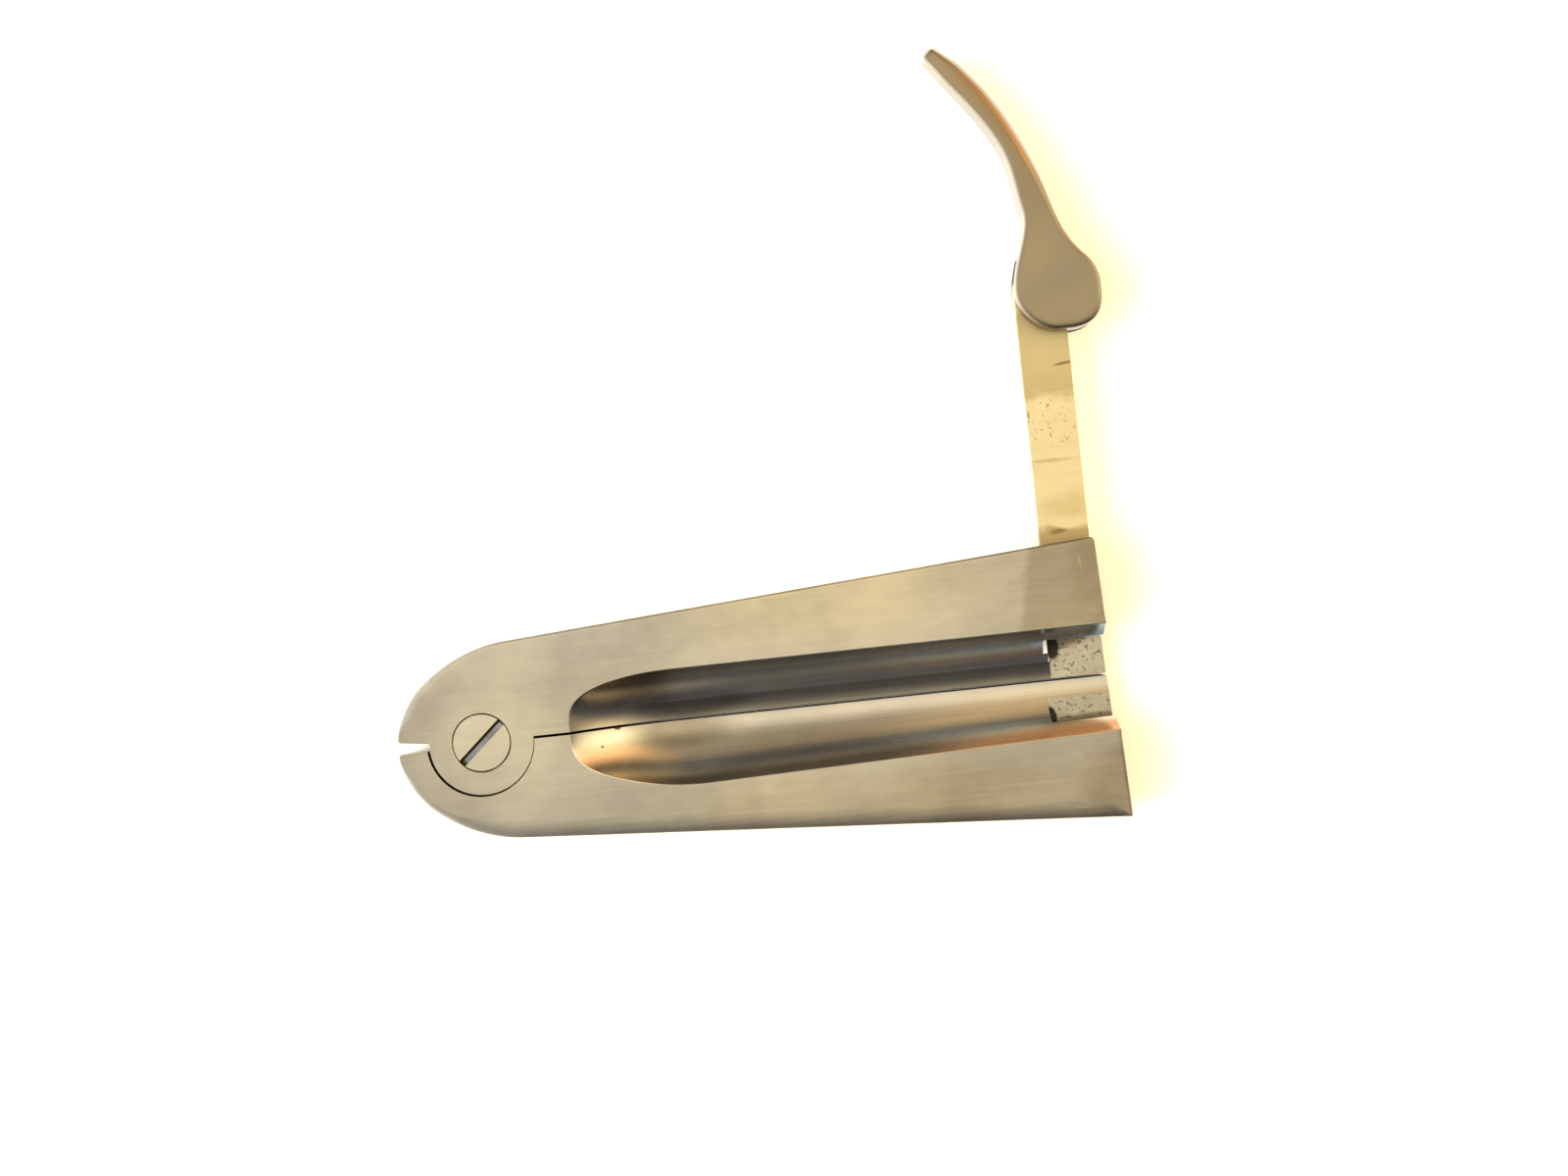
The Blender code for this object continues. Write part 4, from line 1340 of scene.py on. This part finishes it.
GLOWS = (
    Glow((0.0, 0.14, 1.0), (0.3, 0.22, 0.4), (1.485, 1.37, 1.135)),     # overhead
    Glow((0.73, 0.19, 0.61), (0.26, 0.2, 0.32), (2.65, 2.42, 1.58)),    # cream, on the right
    Glow((0.72, 0.55, 0.36), (0.24, 0.16, 0.3), (1.85, 1.06, 0.50)),    # orange, low on the right
    Glow((0.72, -0.2, 0.62), (0.2, 0.11, 0.25), (0.8, 0.505, 0.25)),    # small, front right
    Glow((0.0, 0.80, 0.60), (0.45, 0.24, 0.28), (0.32, 0.262, 0.18)),   # dim, at the back
)


@dataclass
class Studio:
    """Pale floor, soft light from the left and above, and the camera straight over the clamp."""

    camera_place: tuple[float, float, float] = (33.37, 12.85, 206.0)
    camera_turn: float = math.radians(-6.05)
    lens: float = 43.425
    sensor: float = 36.0
    floor_size: float = 4.0
    floor_level: float = -1e-5
    floor_tone: float = 0.93
    floor_roughness: float = 0.8
    floor_lift: Colour = (0.48, 0.46, 0.22)
    floor_shine: Colour = (1.0, 1.0, 0.98)
    shadow_reach: float = 0.002
    shadow_step: tuple[float, float] = (0.10, 0.45)
    front_tone: Colour = (0.117, 0.126, 0.144)
    back_tone: Colour = (0.16, 0.121, 0.081)
    back_step: tuple[float, float] = (-0.35, 0.35)
    left_tone: Colour = (1.4, 1.4, 1.38)
    left_step: tuple[float, float] = (0.05, 0.8)
    window_place: tuple[float, float, float] = (-0.58, -0.02, 0.50)
    window_aim: tuple[float, float, float] = (0.03, 0.02, 0.0)
    window_size: float = 0.6
    window_power: float = 6.0

    def floor(self) -> None:
        """Wide floor that is white to the camera and in reflections, and keeps the object's shadow."""
        line = np.linspace(-self.floor_size / 2.0, self.floor_size / 2.0, FLOOR_POINTS)
        plan = np.stack(np.meshgrid(line, line, indexing="ij"), axis=-1).reshape(-1, 2)
        mesh = bpy.data.meshes.new("floor")
        mesh.from_pydata(level(self.floor_level)(plan).tolist(), [], grid_quads(FLOOR_POINTS, FLOOR_POINTS))
        made = bpy.data.materials.new("pale_floor")
        made.use_nodes = True
        wires = Wiring(made.node_tree)
        shader = made.node_tree.nodes["Principled BSDF"]
        shader.inputs["Base Color"].default_value = (*(self.floor_tone,) * 3, 1.0)
        shader.inputs["Roughness"].default_value = self.floor_roughness
        shader.inputs["Specular IOR Level"].default_value = 0.0
        light = wires.add("ShaderNodeLightPath").outputs
        seen = wires.math("MAXIMUM", light["Is Camera Ray"], light["Is Glossy Ray"])
        free = wires.add("ShaderNodeAmbientOcclusion", Distance=self.shadow_reach).outputs["AO"]
        seen = wires.math("MULTIPLY", seen, wires.step(free, *self.shadow_step))
        lift = wires.blend(light["Is Glossy Ray"], self.floor_lift, self.floor_shine)
        wires.tree.links.new(seen, shader.inputs["Emission Strength"])
        wires.tree.links.new(lift, shader.inputs["Emission Color"])
        mesh.materials.append(made)
        floor = bpy.data.objects.new("floor", mesh)
        bpy.context.scene.collection.objects.link(floor)

    def world(self) -> None:
        """Room round the clamp: dim front, brown back, bright left, and glows above and on the right."""
        world = bpy.data.worlds.new("room")
        world.use_nodes = True
        wires = Wiring(world.node_tree)
        back = world.node_tree.nodes["Background"]
        way = wires.add("ShaderNodeTexCoord").outputs["Generated"]
        axes = wires.add("ShaderNodeSeparateXYZ", Vector=way).outputs
        colour = wires.blend(wires.step(axes[1], *self.back_step), self.front_tone, self.back_tone)
        left = wires.step(wires.math("MULTIPLY", axes[0], -1.0), *self.left_step)
        colour = wires.blend(left, colour, self.left_tone)
        for glow in GLOWS:
            colour = wires.blend(wires.lobe(way, glow.way, glow.width), colour, glow.shine, "ADD")
        seen = wires.add("ShaderNodeLightPath").outputs["Is Camera Ray"]
        colour = wires.blend(seen, colour, (1.0, 1.0, 1.0))
        wires.tree.links.new(colour, back.inputs["Color"])
        back.inputs["Strength"].default_value = 1.0
        bpy.context.scene.world = world

    def window(self) -> None:
        """Square soft lamp on the left that lights the floor and isn't mirrored in the steel."""
        data = bpy.data.lights.new("left_window", "AREA")
        data.size = self.window_size
        data.energy = self.window_power
        lamp = bpy.data.objects.new("left_window", data)
        lamp.location = self.window_place
        lamp.visible_glossy = False
        facing = Vector(self.window_aim) - Vector(self.window_place)
        lamp.rotation_euler = facing.to_track_quat("-Z", "Y").to_euler()
        bpy.context.scene.collection.objects.link(lamp)

    def camera(self) -> None:
        """Camera that looks straight down on the clamp from the photograph's place."""
        data = bpy.data.cameras.new("camera")
        data.sensor_fit = "HORIZONTAL"
        data.sensor_width = self.sensor
        data.lens = self.lens
        data.clip_start = 0.01
        camera = bpy.data.objects.new("camera", data)
        camera.location = [value * MM for value in self.camera_place]
        camera.rotation_euler = (0.0, 0.0, self.camera_turn)
        bpy.context.scene.collection.objects.link(camera)
        bpy.context.scene.camera = camera

    def build(self) -> None:
        """Sets up the floor, the room, the window, the camera and the plain view transform."""
        self.floor()
        self.world()
        self.window()
        self.camera()
        bpy.context.scene.view_settings.view_transform = "Standard"


def clear_start() -> None:
    """Removes whatever the empty file starts with."""
    for old in list(bpy.data.objects):
        bpy.data.objects.remove(old)


def main() -> None:
    """Builds every piece around the frame, lets it ride on its body, and sets up the studio."""
    logging.basicConfig(level=logging.INFO, format="%(message)s")
    clear_start()
    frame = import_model()
    pivots = {joint["name"]: tuple(value / MM for value in joint["pos_m"][:2]) for joint in frame["joints"]}
    pin, pivot = pivots["strap_swing"], pivots["lever_cam"]

    upper = Jaw(Side.UPPER, "upper_plate", land_width=0.5, floor_sink=0.37, pin=pin)
    lower = Jaw(Side.LOWER, "lower_plate", recess_radius=5.67, recess_shift=0.11, lap_level=3.375,
                slit_offset=0.36, slit_flare=0.0, groove_swell=1.05, corner_round=0.2, edge_roll=(1.8, 0.3),
                heel_roll=(0.6, 0.5))
    place_piece(upper.build(), "upper_jaw", "upper_jaw")
    place_piece(lower.build(), "lower_jaw", "lower_jaw")
    place_piece(HingeScrew().build(), "lower_jaw", "hinge_screw")
    place_piece(Strap(pin, pivot).build(), "strap", "strap")
    place_piece(Pin("strap_pivot", pin, 0.0, THICKNESS - PIN_COVER - SEAT).build(),
                "upper_jaw", "strap_pin")
    lever = CamLever(pivot)
    place_piece(lever.build(), "lever", "lever")
    low, high = MID_LEVEL - lever.thickness / 2.0, MID_LEVEL + lever.thickness / 2.0
    place_piece(Pin("lever_pivot", pivot, low, high - PIN_COVER - SEAT).build(),
                "lever", "lever_pin")

    Studio().build()


if __name__ == "__main__":
    main()
